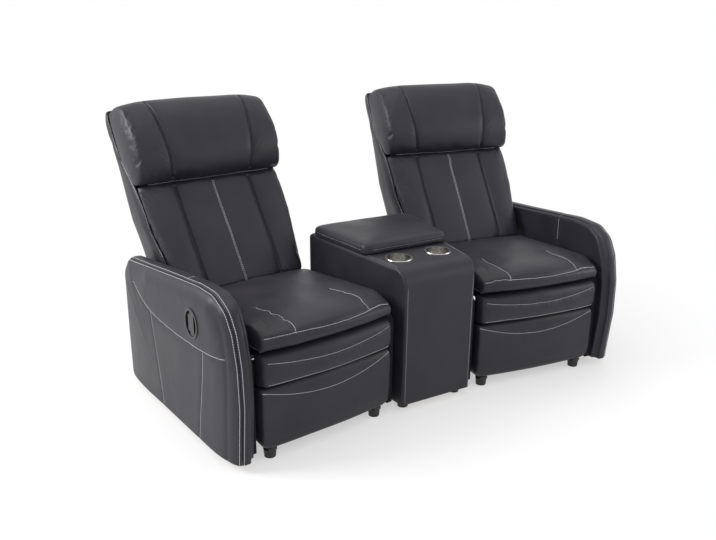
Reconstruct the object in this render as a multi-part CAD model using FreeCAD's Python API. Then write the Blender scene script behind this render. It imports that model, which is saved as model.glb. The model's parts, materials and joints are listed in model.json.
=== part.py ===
import FreeCAD, Part
import math
import os

# Two cinema recliner seats joined by a wedge console with a lid and two cup holders.
# Lengths are in millimetres and angles in degrees. Each seat is drawn once in its own frame:
# x across the seat with the outer arm at -x, y to the rear, z up. The right seat is its mirror.

# Row layout
SEAT_TURN = 7.555
SEAT_OFFSET = 531.5

# Floor, feet and base rails
FOOT_HEIGHT = 30.0
FOOT_RADIUS = 23.0
FOOT_STEP = 3.0
RAIL_HALF_TRACK = 225.0
RAIL_WIDTH = 30.0
RAIL_THICKNESS = 9.0
RAIL_FRONT = -452.0
RAIL_REAR = 345.0
FOOT_SETBACK = 22.0
CROSS_BAR_HEIGHT = 18.0
CROSS_BAR_WIDTH = 30.0
CROSS_BAR_INSET = 150.0

# Seat box
BOARD_INNER = 282.0
BOARD_THICKNESS = 20.0
BOARD_FRONT = -440.0
BOARD_REAR = 345.0
BOARD_TOP_FRONT = 392.0
BOARD_TOP_REAR = 352.0
UPHOLSTERY_BOTTOM = 30.0
REAR_PANEL_THICKNESS = 16.0
REAR_PANEL_BACK = 316.0
REAR_PANEL_TOP = 318.0

# Mechanism plates and layers, counted inwards from the plate on the seat board
STEEL = 4.0
LAYER_GAP = 1.0
PLATE_FRONT = -362.0
PLATE_REAR = 185.0
PLATE_TOP = 390.0
PLATE_DEPTH = 42.0
PIN_RADIUS = 5.0
PIN_CLEARANCE = 0.08
HEAD_RADIUS = 7.0
HEAD_THICKNESS = 2.6
HEAD_GAP = 0.3
LINK_HALF_WIDTH = 11.0
BOSS_RADIUS = 8.0
SEAT_BRACKETS = (-190.0, 10.0)
BRACKET_HALF = 20.0

# Footrest linkage, closed, in the y-z plane
MAIN_PIVOT = (-343.0, 369.8)
MAIN_LENGTH = 246.0
MAIN_ANGLE = -82.34
CROSS_LENGTH = 163.5
CROSS_ANGLE = 118.4
CROSS_TAIL = 45.0
CROSS_TAIL_TURN = 32.8
GUIDE_PIVOT = (-269.8, 380.5)
STAY_ON_MAIN = 178.2
STAY_HINGE_BACK = -9.1
STAY_HINGE_RISE = 67.1
STAY_OPEN_CLEARANCE = 0.5

# Footrest board and pads
FOOTREST_SIDE_GAP = 5.0
FOOTREST_HALF = BOARD_INNER - FOOTREST_SIDE_GAP
FOOTREST_BOARD_INSET = 15.0
FOOTREST_BOARD_HALF = FOOTREST_HALF - FOOTREST_BOARD_INSET
FOOTREST_BOARD_LIFT = 4.0
FLANGE_WIDTH = 26.0
FLANGE_THICKNESS = 3.0
FOOTREST_BOARD_BACK = -412.0
FOOTREST_BOARD_THICKNESS = 15.0
FOOTREST_BOTTOM = 53.0
FOOTREST_BOARD_TOP = 384.0
PANEL_FRONT = -466.0
PANEL_TOP = 272.0
PANEL_CORNER = 44.0
UPPER_PAD_BOTTOM = 274.0
UPPER_PAD_TOP = 391.0
UPPER_PAD_FRONT = -474.0
UPPER_PAD_STITCH = 366.0
PAD_BOW = 22.0
PAD_SAG = 14.0
PAD_ENDS = ((-1.0, 16.0), (-0.965, 4.0), (-0.84, 0.0), (-0.45, 0.0), (0.0, 0.0),
            (0.45, 0.0), (0.84, 0.0), (0.965, 4.0), (1.0, 16.0))
PAD_FOOT_LEAD = 12.0
PANEL_CROWN_BACK = 10.0
PANEL_BOW = 12.0
PANEL_RISE = 30.0
PANEL_STITCH_DROP = 24.0
UPPER_PAD_CROWN_BACK = 16.0
UPPER_PAD_RISE = 22.0
SOFT_GAP = 0.3

# Seat frame and cushion
FRAME_SIDE_GAP = 7.0
FRAME_RAIL = 24.0
FRAME_DEPTH = 34.0
FRAME_FRONT = -398.0
FRAME_REAR = 50.0
FRAME_SHELF_RISE = 20.0
STRAP_WIDTH = 55.0
STRAP_THICKNESS = 2.0
STRAP_END_INSET = 4.0
STRAPS_LENGTHWAYS = (-150.0, -50.0, 50.0, 150.0)
STRAPS_ACROSS = (-290.0, -170.0, -50.0)
SEAT_SIDE_GAP = 5.0
SEAT_HALF = BOARD_INNER - SEAT_SIDE_GAP
SEAT_REAR = 66.0
SEAT_FRONT_TOP = -443.0
SEAT_FRONT = -500.0
SEAT_ROLL_LEAD = 18.0
SEAT_ROLL_UNDER = 16.0
SEAT_ROLL_OVER = 44.0
SEAT_ROLL_SIDE = 50.0
SEAT_UNDER_FRONT = 402.0
SEAT_UNDER_REAR = 372.0
SEAT_TOP_FRONT = 477.0
SEAT_TOP_REAR = 428.0
SEAT_SEAM = 155.0
SEAT_CROWN = 9.0
SEAM_DEPTH = 4.0

# Back: front surface, seam line and rear surface as (y, z)
BACK_PIVOT = (150.0, 350.0)
BACK_HALF_LOW = 274.0
BACK_HALF_HIGH = 306.0
BACK_TAPER_LOW = 430.0
BACK_TAPER_HIGH = 800.0
HEAD_HALF = 313.0
BACK_FACE = ((70.0, 428.0), (105.0, 480.0), (152.0, 550.0), (200.0, 620.0), (256.0, 696.0), (316.0, 785.0))
BACK_SEAM = ((130.0, 428.0), (153.0, 480.0), (191.0, 550.0), (240.0, 620.0), (284.0, 696.0), (355.0, 785.0))
HEAD_SEAM = ((362.0, 792.0), (443.0, 857.0), (514.0, 957.0), (553.0, 1040.0))
BACK_REAR = ((612.0, 1016.0), (570.0, 932.0), (526.0, 821.0), (465.0, 653.0), (402.0, 493.0),
             (383.0, 330.0))
BACK_CHANNEL = 160.0
BACK_CROWN = 12.0
SHELL_WALL = 12.0
SHELL_SIDE_BOTTOM = 404.0
BACK_RAIL_THICKNESS = 24.0
BACK_RAIL_SIDE_GAP = 10.0
BACK_RAIL_INNER = BACK_HALF_LOW - SHELL_WALL - BACK_RAIL_SIDE_GAP - BACK_RAIL_THICKNESS
BACK_RAIL_WIDTH = 44.0
BACK_RAIL_TOP = 905.0
BACK_RAIL_SETBACK = 6.0
BACK_CROSS_RAIL = 20.0
BACK_CROSS_HEIGHT = 30.0
BACK_ARM_SPACER = 4.0
BACK_ARM_LAYER = BACK_RAIL_INNER + BACK_RAIL_THICKNESS + BACK_ARM_SPACER
BACK_ARM_BOLTS = ((2.0, 60.0), (36.0, 140.0))
CUSHION_SIDE_GAP = 3.0
CUSHION_LIP = 6.0
CUSHION_END_LIP = 10.0
CUSHION_REAR_STEP = 4.0
HEAD_FACE = ((320.0, 793.0), (297.0, 862.0), (324.0, 960.0), (392.0, 1070.0), (446.0, 1096.0),
             (510.0, 1080.0))
HEAD_ROUNDING = (6.0, 16.0, 60.0, 160.0, 40.0, 40.0, 60.0, 6.0, 80.0, 80.0)
HEAD_ENDS = ((-1.0, 14.0), (-0.965, 4.0), (-0.8, 0.0), (-0.58, 3.5), (-0.3, 0.0), (0.0, -1.5),
             (0.3, 0.0), (0.58, 3.5), (0.8, 0.0), (0.965, 4.0), (1.0, 14.0))
HEAD_SIDE_GAP = 2.0

# Arm: side outline as (y, z), from the front foot round over the top to the rear foot
ARM_OUTLINE = ((-474.0, 30.0), (-494.0, 240.0), (-488.0, 380.0), (-464.0, 486.0), (-424.0, 552.0),
               (-350.0, 588.0), (-250.0, 590.0), (-60.0, 570.0), (160.0, 546.0), (340.0, 527.0),
               (396.0, 460.0), (404.0, 30.0))
ARM_ROUNDING = (2.0, 160.0, 160.0, 90.0, 90.0, 90.0, 120.0, 300.0, 300.0, 45.0, 60.0, 2.0)
ARM_INNER = 302.3
ARM_OUTER = 354.0
ARM_BULGE = 386.0
ARM_PADDING = 20.0
ARM_SKIN = 10.0
ARM_BAND_SECTIONS = ((0.0, 9.0), (0.15, 2.0), (0.5, 0.0), (0.88, 1.0), (1.0, 4.0))
ARM_PANEL_SECTIONS = ((0.0, 5.0), (0.3, 2.0), (0.62, 12.0), (0.88, 38.0), (1.0, 80.0))
ARM_BOARD = 12.0
ARM_POST = 60.0

# Recline handle in the outer arm panel
HANDLE_PLACE = (-231.0, 455.0)
HANDLE_HALF_HEIGHT = 47.0
HANDLE_HALF_WIDTH = 39.0
HANDLE_RIM = 6.0
HANDLE_RIM_PROUD = 3.0
HANDLE_DEPTH = 26.0
HANDLE_WALL = 2.5
PADDLE_THICKNESS = 4.0
PADDLE_GAP = 16.0
PADDLE_EDGE_GAP = 2.0
PADDLE_PIN_RADIUS = 2.0
PADDLE_BARREL_WALL = 2.6
PADDLE_TAIL = 1.0
PADDLE_SHOULDER = 13.0
PADDLE_REACH = 0.62
PADDLE_SUNK = 1.5
SPINDLE_POST = 5.0
SPINDLE_POST_GAP = 2.0

# Console
CONSOLE_SIDE = 315.0
CONSOLE_FRONT = -440.0
CONSOLE_REAR = 160.0
CONSOLE_TOP = 556.0
CONSOLE_SHOULDER = 66.0
CONSOLE_EDGE = 16.0
COVER_THICKNESS = 14.0
CONSOLE_WALL = 15.0
BATTEN_WIDTH = 48.0
BATTEN_HEIGHT = 18.0
LID_FRONT = -212.0
LID_REAR = 128.0
LID_GAP = 1.5
LID_BOARD = 12.0
LID_PAD = 32.0
LID_PAD_SECTIONS = ((0.0, 5.0), (8.0, 0.5), (18.0, 2.0), (26.0, 12.0), (LID_PAD - 1.0, 34.0),
                    (LID_PAD, 60.0))
BIN_WALL = 6.0
BIN_DEPTH = 210.0
BIN_FRONT = -188.0
BIN_REAR = 98.0
BIN_SIDE_INSET = 52.0
CUP_OFFSET = 88.0
CUP_PLACE = -289.0
CUP_RADIUS = 43.0
CUP_WALL = 1.5
CUP_DEPTH = 64.0
CUP_FLANGE = 52.5
CUP_FLANGE_THICKNESS = 2.5
HINGE_RADIUS = 5.0
HINGE_LEAF = 2.0
HINGE_LIFT = 0.1
HINGE_LENGTH = 300.0
HINGE_KNUCKLES = 5
HINGE_LEAF_REACH = 22.0
HINGE_END_PLAY = 0.25
CONNECTOR_WIDTH = 40.0
CONNECTOR_HEIGHT = 90.0
CONNECTOR_PLATE = 3.0
CONNECTOR_PLACES = (-330.0, 60.0)
CONNECTOR_LEVEL = 180.0
CONNECTOR_LIP = 0.4

os.makedirs("parts", exist_ok=True)


def vec(x, y, z):
    return FreeCAD.Vector(x, y, z)


def on_x(x):
    """A drawing plane across the seat: (a, b) becomes (y, z) at this x."""
    return lambda a, b: vec(x, a, b)


def on_y(y):
    """A drawing plane facing the front: (a, b) becomes (x, z) at this y."""
    return lambda a, b: vec(a, y, b)


def on_z(z):
    """A level drawing plane: (a, b) becomes (x, y) at this z."""
    return lambda a, b: vec(a, b, z)


def rounded_wire(points, radii, plane):
    """A closed wire through corner points, each corner rounded by an arc limited by its sides."""
    count = len(points)
    if not isinstance(radii, (list, tuple)):
        radii = [radii] * count
    starts = []
    for index in range(count):
        px, py = points[index]
        ax, ay = points[index - 1]
        bx, by = points[(index + 1) % count]
        la = math.hypot(ax - px, ay - py)
        lb = math.hypot(bx - px, by - py)
        ux, uy = (ax - px) / la, (ay - py) / la
        vx, vy = (bx - px) / lb, (by - py) / lb
        half = 0.5 * math.acos(max(-1.0, min(1.0, ux * vx + uy * vy)))
        reach = min(radii[index] / math.tan(half), 0.45 * la, 0.45 * lb)
        radius = reach * math.tan(half)
        bis = math.hypot(ux + vx, uy + vy)
        mx, my = (ux + vx) / bis, (uy + vy) / bis
        centre = radius / math.sin(half)
        first = (px + ux * reach, py + uy * reach)
        last = (px + vx * reach, py + vy * reach)
        middle = (px + mx * (centre - radius), py + my * (centre - radius))
        starts.append((first, middle, last))
    edges = []
    for index in range(count):
        first, middle, last = (plane(*p) for p in starts[index])
        following = plane(*starts[(index + 1) % count][0])
        edges.append(Part.Arc(first, middle, last).toShape())
        edges.append(Part.LineSegment(last, following).toShape())
    return Part.Wire(edges)


def prism(points, radii, plane, along):
    """A rounded outline pushed along a vector."""
    return Part.Face(rounded_wire(points, radii, plane)).extrude(along)


def box(low, high):
    return Part.makeBox(high[0] - low[0], high[1] - low[1], high[2] - low[2], vec(*low))


def rod(start, end, radius):
    a, b = vec(*start), vec(*end)
    return Part.makeCylinder(radius, (b - a).Length, a, b - a)


def loft(wires, ruled=False):
    return Part.makeLoft(wires, True, ruled)


def inset(points, distance):
    """The same outline drawn in by a distance, its open foot kept on the same level."""
    result = []
    count = len(points)
    for index, (px, py) in enumerate(points):
        ax, ay = points[max(index - 1, 0)]
        bx, by = points[min(index + 1, count - 1)]
        length = math.hypot(bx - ax, by - ay)
        nx, ny = (by - ay) / length, -(bx - ax) / length
        if index in (0, count - 1):
            result.append((px + math.copysign(distance, nx), py))
        else:
            result.append((px + nx * distance, py + ny * distance))
    return result


def turned(length, angle):
    return length * math.cos(math.radians(angle)), length * math.sin(math.radians(angle))


def moved(point, step):
    return point[0] + step[0], point[1] + step[1]


def both_sides(shapes):
    """Pieces drawn on the +x side of a seat, with their mirror images."""
    return shapes + [shape.mirror(vec(0, 0, 0), vec(1, 0, 0)) for shape in shapes]


def along_line(points, height):
    """The y of a line of (y, z) points at a height."""
    for (ya, za), (yb, zb) in zip(points, points[1:]):
        if height <= zb:
            break
    return ya + (yb - ya) * (height - za) / (zb - za)


# Link layers, each as its outer and inner x
PLATE_OUT = BOARD_INNER
LAYERS = []
for step in range(6):
    outer_face = PLATE_OUT - step * (STEEL + LAYER_GAP)
    LAYERS.append((outer_face, outer_face - STEEL))
PLATE_LAYER, BRACKET_LAYER, STAY_LAYER, MAIN_LAYER, CROSS_LAYER, GUIDE_LAYER = LAYERS
FRAME_HALF = GUIDE_LAYER[1] - FRAME_SIDE_GAP

# Closed places of the linkage's pivots
MAIN_END = moved(MAIN_PIVOT, turned(MAIN_LENGTH, MAIN_ANGLE))
FOOTREST_PIVOT = moved(MAIN_END, turned(CROSS_LENGTH, CROSS_ANGLE))
GUIDE_END = moved(MAIN_END, turned(CROSS_TAIL, CROSS_ANGLE + 180.0 + CROSS_TAIL_TURN))
STAY_START = moved(MAIN_PIVOT, turned(STAY_ON_MAIN, MAIN_ANGLE))
STAY_END = moved(FOOTREST_PIVOT, (STAY_HINGE_BACK, STAY_HINGE_RISE))


def flat_bar(start, end, layer, half_width=LINK_HALF_WIDTH):
    """A flat steel link with round ends between two pivots."""
    outer_x, inner_x = layer
    run = math.hypot(end[0] - start[0], end[1] - start[1])
    across = (-(end[1] - start[1]) / run * half_width, (end[0] - start[0]) / run * half_width)
    corners = [moved(start, across), moved(end, across),
               (end[0] - across[0], end[1] - across[1]), (start[0] - across[0], start[1] - across[1])]
    wire = Part.makePolygon([vec(inner_x, *p) for p in corners + corners[:1]])
    bar = Part.Face(wire).extrude(vec(outer_x - inner_x, 0, 0))
    for end_point in (start, end):
        bar = bar.fuse(rod((inner_x, *end_point), (outer_x, *end_point), half_width))
    return bar.removeSplitter()


def pin(place, x_from, x_to, radius=PIN_RADIUS):
    return rod((x_from, *place), (x_to, *place), radius)


def pierced(bar, place, layer, radius=PIN_RADIUS + PIN_CLEARANCE):
    return bar.cut(pin(place, layer[1] - 1.0, layer[0] + 1.0, radius))


def headed_pin(place, x_root, layer, inwards):
    """A pin from x_root through a link's layer, closed by a riveted head."""
    way = -1.0 if inwards else 1.0
    far = layer[1] if inwards else layer[0]
    head_start = far + way * HEAD_GAP
    head_end = head_start + way * HEAD_THICKNESS
    return pin(place, x_root, head_end).fuse(pin(place, head_start, head_end, HEAD_RADIUS))


def seat_base():
    """Rails, cross bars and boards that stand the seat on its feet."""
    rail_top = FOOT_HEIGHT + RAIL_THICKNESS
    rail = box((RAIL_HALF_TRACK - RAIL_WIDTH / 2, RAIL_FRONT, FOOT_HEIGHT),
               (RAIL_HALF_TRACK + RAIL_WIDTH / 2, RAIL_REAR, rail_top))
    rails = both_sides([rail])
    for place in (RAIL_FRONT + CROSS_BAR_INSET, RAIL_REAR - CROSS_BAR_INSET):
        rails.append(box((-BOARD_INNER, place - CROSS_BAR_WIDTH / 2, rail_top),
                         (BOARD_INNER, place + CROSS_BAR_WIDTH / 2, rail_top + CROSS_BAR_HEIGHT)))
    board_points = [(BOARD_FRONT, UPHOLSTERY_BOTTOM), (BOARD_FRONT, BOARD_TOP_FRONT),
                    (BOARD_REAR, BOARD_TOP_REAR), (BOARD_REAR, UPHOLSTERY_BOTTOM)]
    board = prism(board_points, (8.0, 40.0, 40.0, 8.0), on_x(BOARD_INNER), vec(BOARD_THICKNESS, 0, 0))
    rear = box((-BOARD_INNER, REAR_PANEL_BACK - REAR_PANEL_THICKNESS, rail_top + CROSS_BAR_HEIGHT),
               (BOARD_INNER, REAR_PANEL_BACK, REAR_PANEL_TOP))
    return {"base_rails": rails, "side_boards": both_sides([board]), "rear_panel": [rear]}


def foot(x, y):
    """A round plastic glide with a stepped tread."""
    tread_radius = FOOT_RADIUS - FOOT_STEP
    body = Part.makeCone(tread_radius, FOOT_RADIUS, FOOT_HEIGHT - FOOT_STEP, vec(x, y, FOOT_STEP))
    tread = Part.makeCylinder(tread_radius, FOOT_STEP, vec(x, y, 0))
    return body.fuse(tread).removeSplitter()


def seat_feet():
    places = (RAIL_FRONT + FOOT_SETBACK, RAIL_REAR - FOOT_SETBACK)
    return [foot(side * RAIL_HALF_TRACK, y) for side in (-1, 1) for y in places]


def mechanism_plates():
    """The two steel plates that carry the linkage and the back, bolted to the side boards."""
    outer_x, inner_x = PLATE_LAYER
    low = PLATE_TOP - PLATE_DEPTH
    back_y, back_z = BACK_PIVOT
    points = [(PLATE_FRONT, PLATE_TOP), (GUIDE_PIVOT[0] + 40.0, PLATE_TOP), (PLATE_REAR, back_z + 26.0),
              (PLATE_REAR, back_z - 26.0), (back_y - 50.0, back_z - 26.0), (PLATE_FRONT, low)]
    plate = prism(points, (16.0, 60.0, 24.0, 24.0, 60.0, 16.0), on_x(inner_x), vec(outer_x - inner_x, 0, 0))
    plate = plate.fuse(headed_pin(MAIN_PIVOT, inner_x, MAIN_LAYER, True))
    plate = plate.fuse(pin(MAIN_PIVOT, inner_x, MAIN_LAYER[0] + HEAD_GAP, BOSS_RADIUS))
    plate = plate.fuse(headed_pin(GUIDE_PIVOT, inner_x, GUIDE_LAYER, True))
    plate = plate.fuse(pin(GUIDE_PIVOT, inner_x, GUIDE_LAYER[0] + HEAD_GAP, BOSS_RADIUS))
    back_layer = (BACK_ARM_LAYER + STEEL, BACK_ARM_LAYER)
    plate = plate.fuse(headed_pin(BACK_PIVOT, inner_x, back_layer, True))
    plate = plate.fuse(pin(BACK_PIVOT, inner_x, back_layer[0] + HEAD_GAP, BOSS_RADIUS))
    for y in SEAT_BRACKETS:
        ends = (y - BRACKET_HALF, y + BRACKET_HALF)
        top = [(end, frame_under(end)) for end in ends]
        low_edge = [(end, frame_under(end) - STEEL) for end in reversed(ends)]
        shelf_x = FRAME_HALF - FRAME_RAIL
        shelf = prism(top + low_edge, 0.5, on_x(shelf_x), vec(inner_x - shelf_x, 0, 0))
        web = box((inner_x - STEEL, ends[0], frame_under(ends[1]) - STEEL),
                  (inner_x, ends[1], frame_under(y) + FRAME_SHELF_RISE))
        plate = plate.fuse(shelf).fuse(web)
    return both_sides([plate.removeSplitter()])


def seat_under(y):
    """Height of the cushion's flat underside at a depth."""
    share = (y - SEAT_FRONT_TOP) / (SEAT_REAR - SEAT_FRONT_TOP)
    return SEAT_UNDER_FRONT + share * (SEAT_UNDER_REAR - SEAT_UNDER_FRONT)


def frame_under(y):
    return seat_under(y) - SOFT_GAP - STRAP_THICKNESS * 2 - FRAME_DEPTH


def seat_frame():
    """The sloping timber frame under the cushion."""
    drop = SOFT_GAP + STRAP_THICKNESS * 2
    outline = [(FRAME_FRONT, seat_under(FRAME_FRONT) - drop), (FRAME_REAR, seat_under(FRAME_REAR) - drop),
               (FRAME_REAR, frame_under(FRAME_REAR)), (FRAME_FRONT, frame_under(FRAME_FRONT))]
    outer = prism(outline, 2.0, on_x(-FRAME_HALF), vec(2 * FRAME_HALF, 0, 0))
    hole = box((-FRAME_HALF + FRAME_RAIL, FRAME_FRONT + FRAME_RAIL, 200.0),
               (FRAME_HALF - FRAME_RAIL, FRAME_REAR - FRAME_RAIL, 500.0))
    return [outer.cut(hole)]


def seat_webbing():
    """Elastic straps stretched over the seat frame, front to back and across."""
    straps = []
    for x in STRAPS_LENGTHWAYS:
        low, high = FRAME_FRONT + STRAP_END_INSET, FRAME_REAR - STRAP_END_INSET
        under = [(y, seat_under(y) - SOFT_GAP - 2 * STRAP_THICKNESS) for y in (low, high)]
        points = under + [(high, under[1][1] + STRAP_THICKNESS), (low, under[0][1] + STRAP_THICKNESS)]
        wire = Part.makePolygon([vec(x - STRAP_WIDTH / 2, *p) for p in points + points[:1]])
        straps.append(Part.Face(wire).extrude(vec(STRAP_WIDTH, 0, 0)))
    for y in STRAPS_ACROSS:
        ends = (y - STRAP_WIDTH / 2, y + STRAP_WIDTH / 2)
        under = [(e, seat_under(e) - SOFT_GAP - STRAP_THICKNESS) for e in ends]
        points = under + [(end, z + STRAP_THICKNESS) for end, z in reversed(under)]
        reach = FRAME_HALF - STRAP_END_INSET
        wire = Part.makePolygon([vec(-reach, *p) for p in points + points[:1]])
        straps.append(Part.Face(wire).extrude(vec(2 * reach, 0, 0)))
    return straps


def lobed_section(plane, half, seams, base, top, lift, dip, corner):
    """A closed section: flat base, rounded sides and a top of shallow lobes between seams."""
    knots = [-half + corner] + [s for s in seams] + [half - corner]
    points = []
    for index, x in enumerate(knots):
        level = top if index in (0, len(knots) - 1) else top + lift * (1 - (x / half) ** 2) - dip
        points.append((x, level))
    edges = [Part.LineSegment(plane(-half + corner, base), plane(half - corner, base)).toShape()]
    middle = 0.5 * (top + base)
    shoulder = half - corner
    edges.append(Part.Arc(plane(shoulder, base), plane(half, middle), plane(shoulder, top)).toShape())
    for right, left in zip(points[::-1], points[-2::-1]):
        x = 0.5 * (left[0] + right[0])
        level = top + lift * (1 - (x / half) ** 2)
        edges.append(Part.Arc(plane(*right), plane(x, level), plane(*left)).toShape())
    edges.append(Part.Arc(plane(-shoulder, top), plane(-half, middle), plane(-shoulder, base)).toShape())
    return Part.Wire(edges)


def seat_cushion():
    """The sprung seat cushion: crowned, three lobes wide, its front rolled over."""
    slope = (SEAT_TOP_REAR - SEAT_TOP_FRONT) / (SEAT_REAR - SEAT_FRONT_TOP)
    stations = [(SEAT_REAR, 6.0, 5.0, 6.0, 0.5), (SEAT_REAR - 22.0, 0.0, 0.0, 0.0, 0.5),
                (-40.0, 0.0, -3.0, 0.0, 0.5), (-150.0, 0.0, -3.0, 0.0, 0.5), (-250.0, 0.0, -1.0, 0.0, 2.0),
                (-310.0, 0.0, 0.0, 0.0, SEAM_DEPTH)]
    roll_start = SEAT_FRONT_TOP + SEAT_ROLL_LEAD
    for angle in (0.0, 22.0, 42.0, 60.0, 76.0, 90.0):
        sweep, fall = math.sin(math.radians(angle)), 1.0 - math.cos(math.radians(angle))
        y = roll_start + (SEAT_FRONT - roll_start) * sweep
        stations.append((y, SEAT_ROLL_UNDER * fall, SEAT_ROLL_OVER * fall,
                         SEAT_ROLL_SIDE * fall, SEAM_DEPTH))
    wires = []
    for y, low, drop, draw, dip in stations:
        level = SEAT_TOP_FRONT + slope * (y - SEAT_FRONT_TOP) - drop
        wires.append(lobed_section(on_y(y), SEAT_HALF - draw, (-SEAT_SEAM, SEAT_SEAM), seat_under(y) + low,
                                   level, SEAT_CROWN, dip, 9.0))
    return [loft(wires, True)]


def pad_sections(front, bottom, top, crown_back, bow, lower_rise, stitch_drop):
    """Sections across a footrest pad, its front bowed out and its ends drawn in."""
    wires = []
    board_face = FOOTREST_BOARD_BACK - FOOTREST_BOARD_THICKNESS - SOFT_GAP
    for share, draw in PAD_ENDS:
        x = share * FOOTREST_HALF
        curve = 1.0 - share * share
        face = front - bow * curve + draw
        low = bottom(abs(x)) + draw * 0.4
        high = top - draw * 0.4
        points = [(board_face, low), (face + PAD_FOOT_LEAD, low), (face, low + lower_rise),
                  (face, high - stitch_drop - PAD_SAG * curve), (board_face - crown_back, high),
                  (board_face, high - 6.0)]
        wires.append(rounded_wire(points, (2.0, 12.0, 14.0, 16.0, 14.0, 3.0), on_x(x)))
    return wires


def panel_bottom(x):
    """Lower edge of the footrest panel with its rounded corners."""
    over = max(0.0, x - (FOOTREST_HALF - PANEL_CORNER))
    return FOOTREST_BOTTOM + PANEL_CORNER - math.sqrt(max(PANEL_CORNER ** 2 - over ** 2, 16.0))


def footrest():
    """Board, two pads and the brackets that swing with it."""
    board_low = FOOTREST_BOTTOM + FOOTREST_BOARD_LIFT
    board = prism([(-FOOTREST_BOARD_HALF, board_low), (-FOOTREST_BOARD_HALF, FOOTREST_BOARD_TOP),
                   (FOOTREST_BOARD_HALF, FOOTREST_BOARD_TOP), (FOOTREST_BOARD_HALF, board_low)],
                  (PANEL_CORNER, 10.0, 10.0, PANEL_CORNER), on_y(FOOTREST_BOARD_BACK),
                  vec(0, -FOOTREST_BOARD_THICKNESS, 0))
    lower = loft(pad_sections(PANEL_FRONT, panel_bottom, PANEL_TOP - SOFT_GAP - 1.0, PANEL_CROWN_BACK,
                              PANEL_BOW, PANEL_RISE, PANEL_STITCH_DROP), True)
    upper = loft(pad_sections(UPPER_PAD_FRONT, lambda x: UPPER_PAD_BOTTOM, UPPER_PAD_TOP,
                              UPPER_PAD_CROWN_BACK, PAD_BOW, UPPER_PAD_RISE,
                              UPPER_PAD_TOP - UPPER_PAD_STITCH), True)
    outer_x, inner_x = BRACKET_LAYER
    hinge_y, hinge_z = FOOTREST_PIVOT
    points = [(FOOTREST_BOARD_BACK, hinge_z - 30.0), (hinge_y + 3.0, hinge_z - 13.0),
              (hinge_y + 13.0, hinge_z),
              (STAY_END[0] + 12.0, STAY_END[1] + 4.0), (STAY_END[0], STAY_END[1] + 13.0),
              (FOOTREST_BOARD_BACK, STAY_END[1] + 22.0)]
    bracket = prism(points, (1.0, 8.0, 10.0, 8.0, 8.0, 1.0), on_x(inner_x), vec(outer_x - inner_x, 0, 0))
    flange = box((inner_x - FLANGE_WIDTH, FOOTREST_BOARD_BACK, hinge_z - 30.0),
                 (outer_x, FOOTREST_BOARD_BACK + FLANGE_THICKNESS, STAY_END[1] + 22.0))
    bracket = bracket.fuse(flange)
    bracket = pierced(bracket, FOOTREST_PIVOT, BRACKET_LAYER)
    bracket = bracket.fuse(headed_pin(STAY_END, inner_x, STAY_LAYER, True))
    return {"footrest_board": [board], "footrest_panel": [lower], "footrest_pad": [upper],
            "footrest_brackets": both_sides([bracket.removeSplitter()])}


def footrest_links():
    """Main, guide, cross and stay links on both sides of the seat."""
    main = flat_bar(MAIN_PIVOT, MAIN_END, MAIN_LAYER)
    main = pierced(main, MAIN_PIVOT, MAIN_LAYER)
    main = main.fuse(headed_pin(MAIN_END, MAIN_LAYER[1], CROSS_LAYER, True))
    main = main.fuse(headed_pin(STAY_START, MAIN_LAYER[0], STAY_LAYER, False))
    cross = flat_bar(MAIN_END, FOOTREST_PIVOT, CROSS_LAYER)
    cross = cross.fuse(flat_bar(MAIN_END, GUIDE_END, CROSS_LAYER)).removeSplitter()
    cross = pierced(cross, MAIN_END, CROSS_LAYER)
    cross = cross.fuse(headed_pin(FOOTREST_PIVOT, CROSS_LAYER[0], BRACKET_LAYER, False))
    cross = cross.fuse(pin(FOOTREST_PIVOT, CROSS_LAYER[0], BRACKET_LAYER[1] - HEAD_GAP, BOSS_RADIUS))
    cross = cross.fuse(pin(GUIDE_END, CROSS_LAYER[0], CROSS_LAYER[0] + LAYER_GAP, HEAD_RADIUS))
    guide = flat_bar(GUIDE_PIVOT, GUIDE_END, GUIDE_LAYER, LINK_HALF_WIDTH - 2.0)
    guide = pierced(guide, GUIDE_PIVOT, GUIDE_LAYER)
    guide = guide.fuse(pin(GUIDE_END, GUIDE_LAYER[1], GUIDE_LAYER[1] - HEAD_THICKNESS, HEAD_RADIUS))
    stay = flat_bar(STAY_START, STAY_END, STAY_LAYER, LINK_HALF_WIDTH - 1.0)
    stay = pierced(stay, STAY_START, STAY_LAYER)
    stay = pierced(stay, STAY_END, STAY_LAYER, PIN_RADIUS + STAY_OPEN_CLEARANCE)
    return {"main_links": both_sides([main]), "cross_links": both_sides([cross]),
            "guide_links": both_sides([guide]), "stay_links": both_sides([stay])}


def half_width(z):
    """Half the back's width at a height: narrow between the arms, wider at the head."""
    share = (z - BACK_TAPER_LOW) / (BACK_TAPER_HIGH - BACK_TAPER_LOW)
    return BACK_HALF_LOW + max(0.0, min(1.0, share)) * (BACK_HALF_HIGH - BACK_HALF_LOW)


def front_view_limit(draw):
    """A block with the back's front outline, used to trim pieces of the back to its taper."""
    head_z = HEAD_SEAM[-1][1]
    low = [(BACK_HALF_LOW - draw, 250.0), (BACK_HALF_LOW - draw, BACK_TAPER_LOW),
           (BACK_HALF_HIGH - draw, BACK_TAPER_HIGH), (HEAD_HALF - draw, head_z + 60.0)]
    points = low + [(-x, z) for x, z in reversed(low)]
    return prism(points, 20.0, on_y(0.0), vec(0, 800.0, 0))


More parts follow.
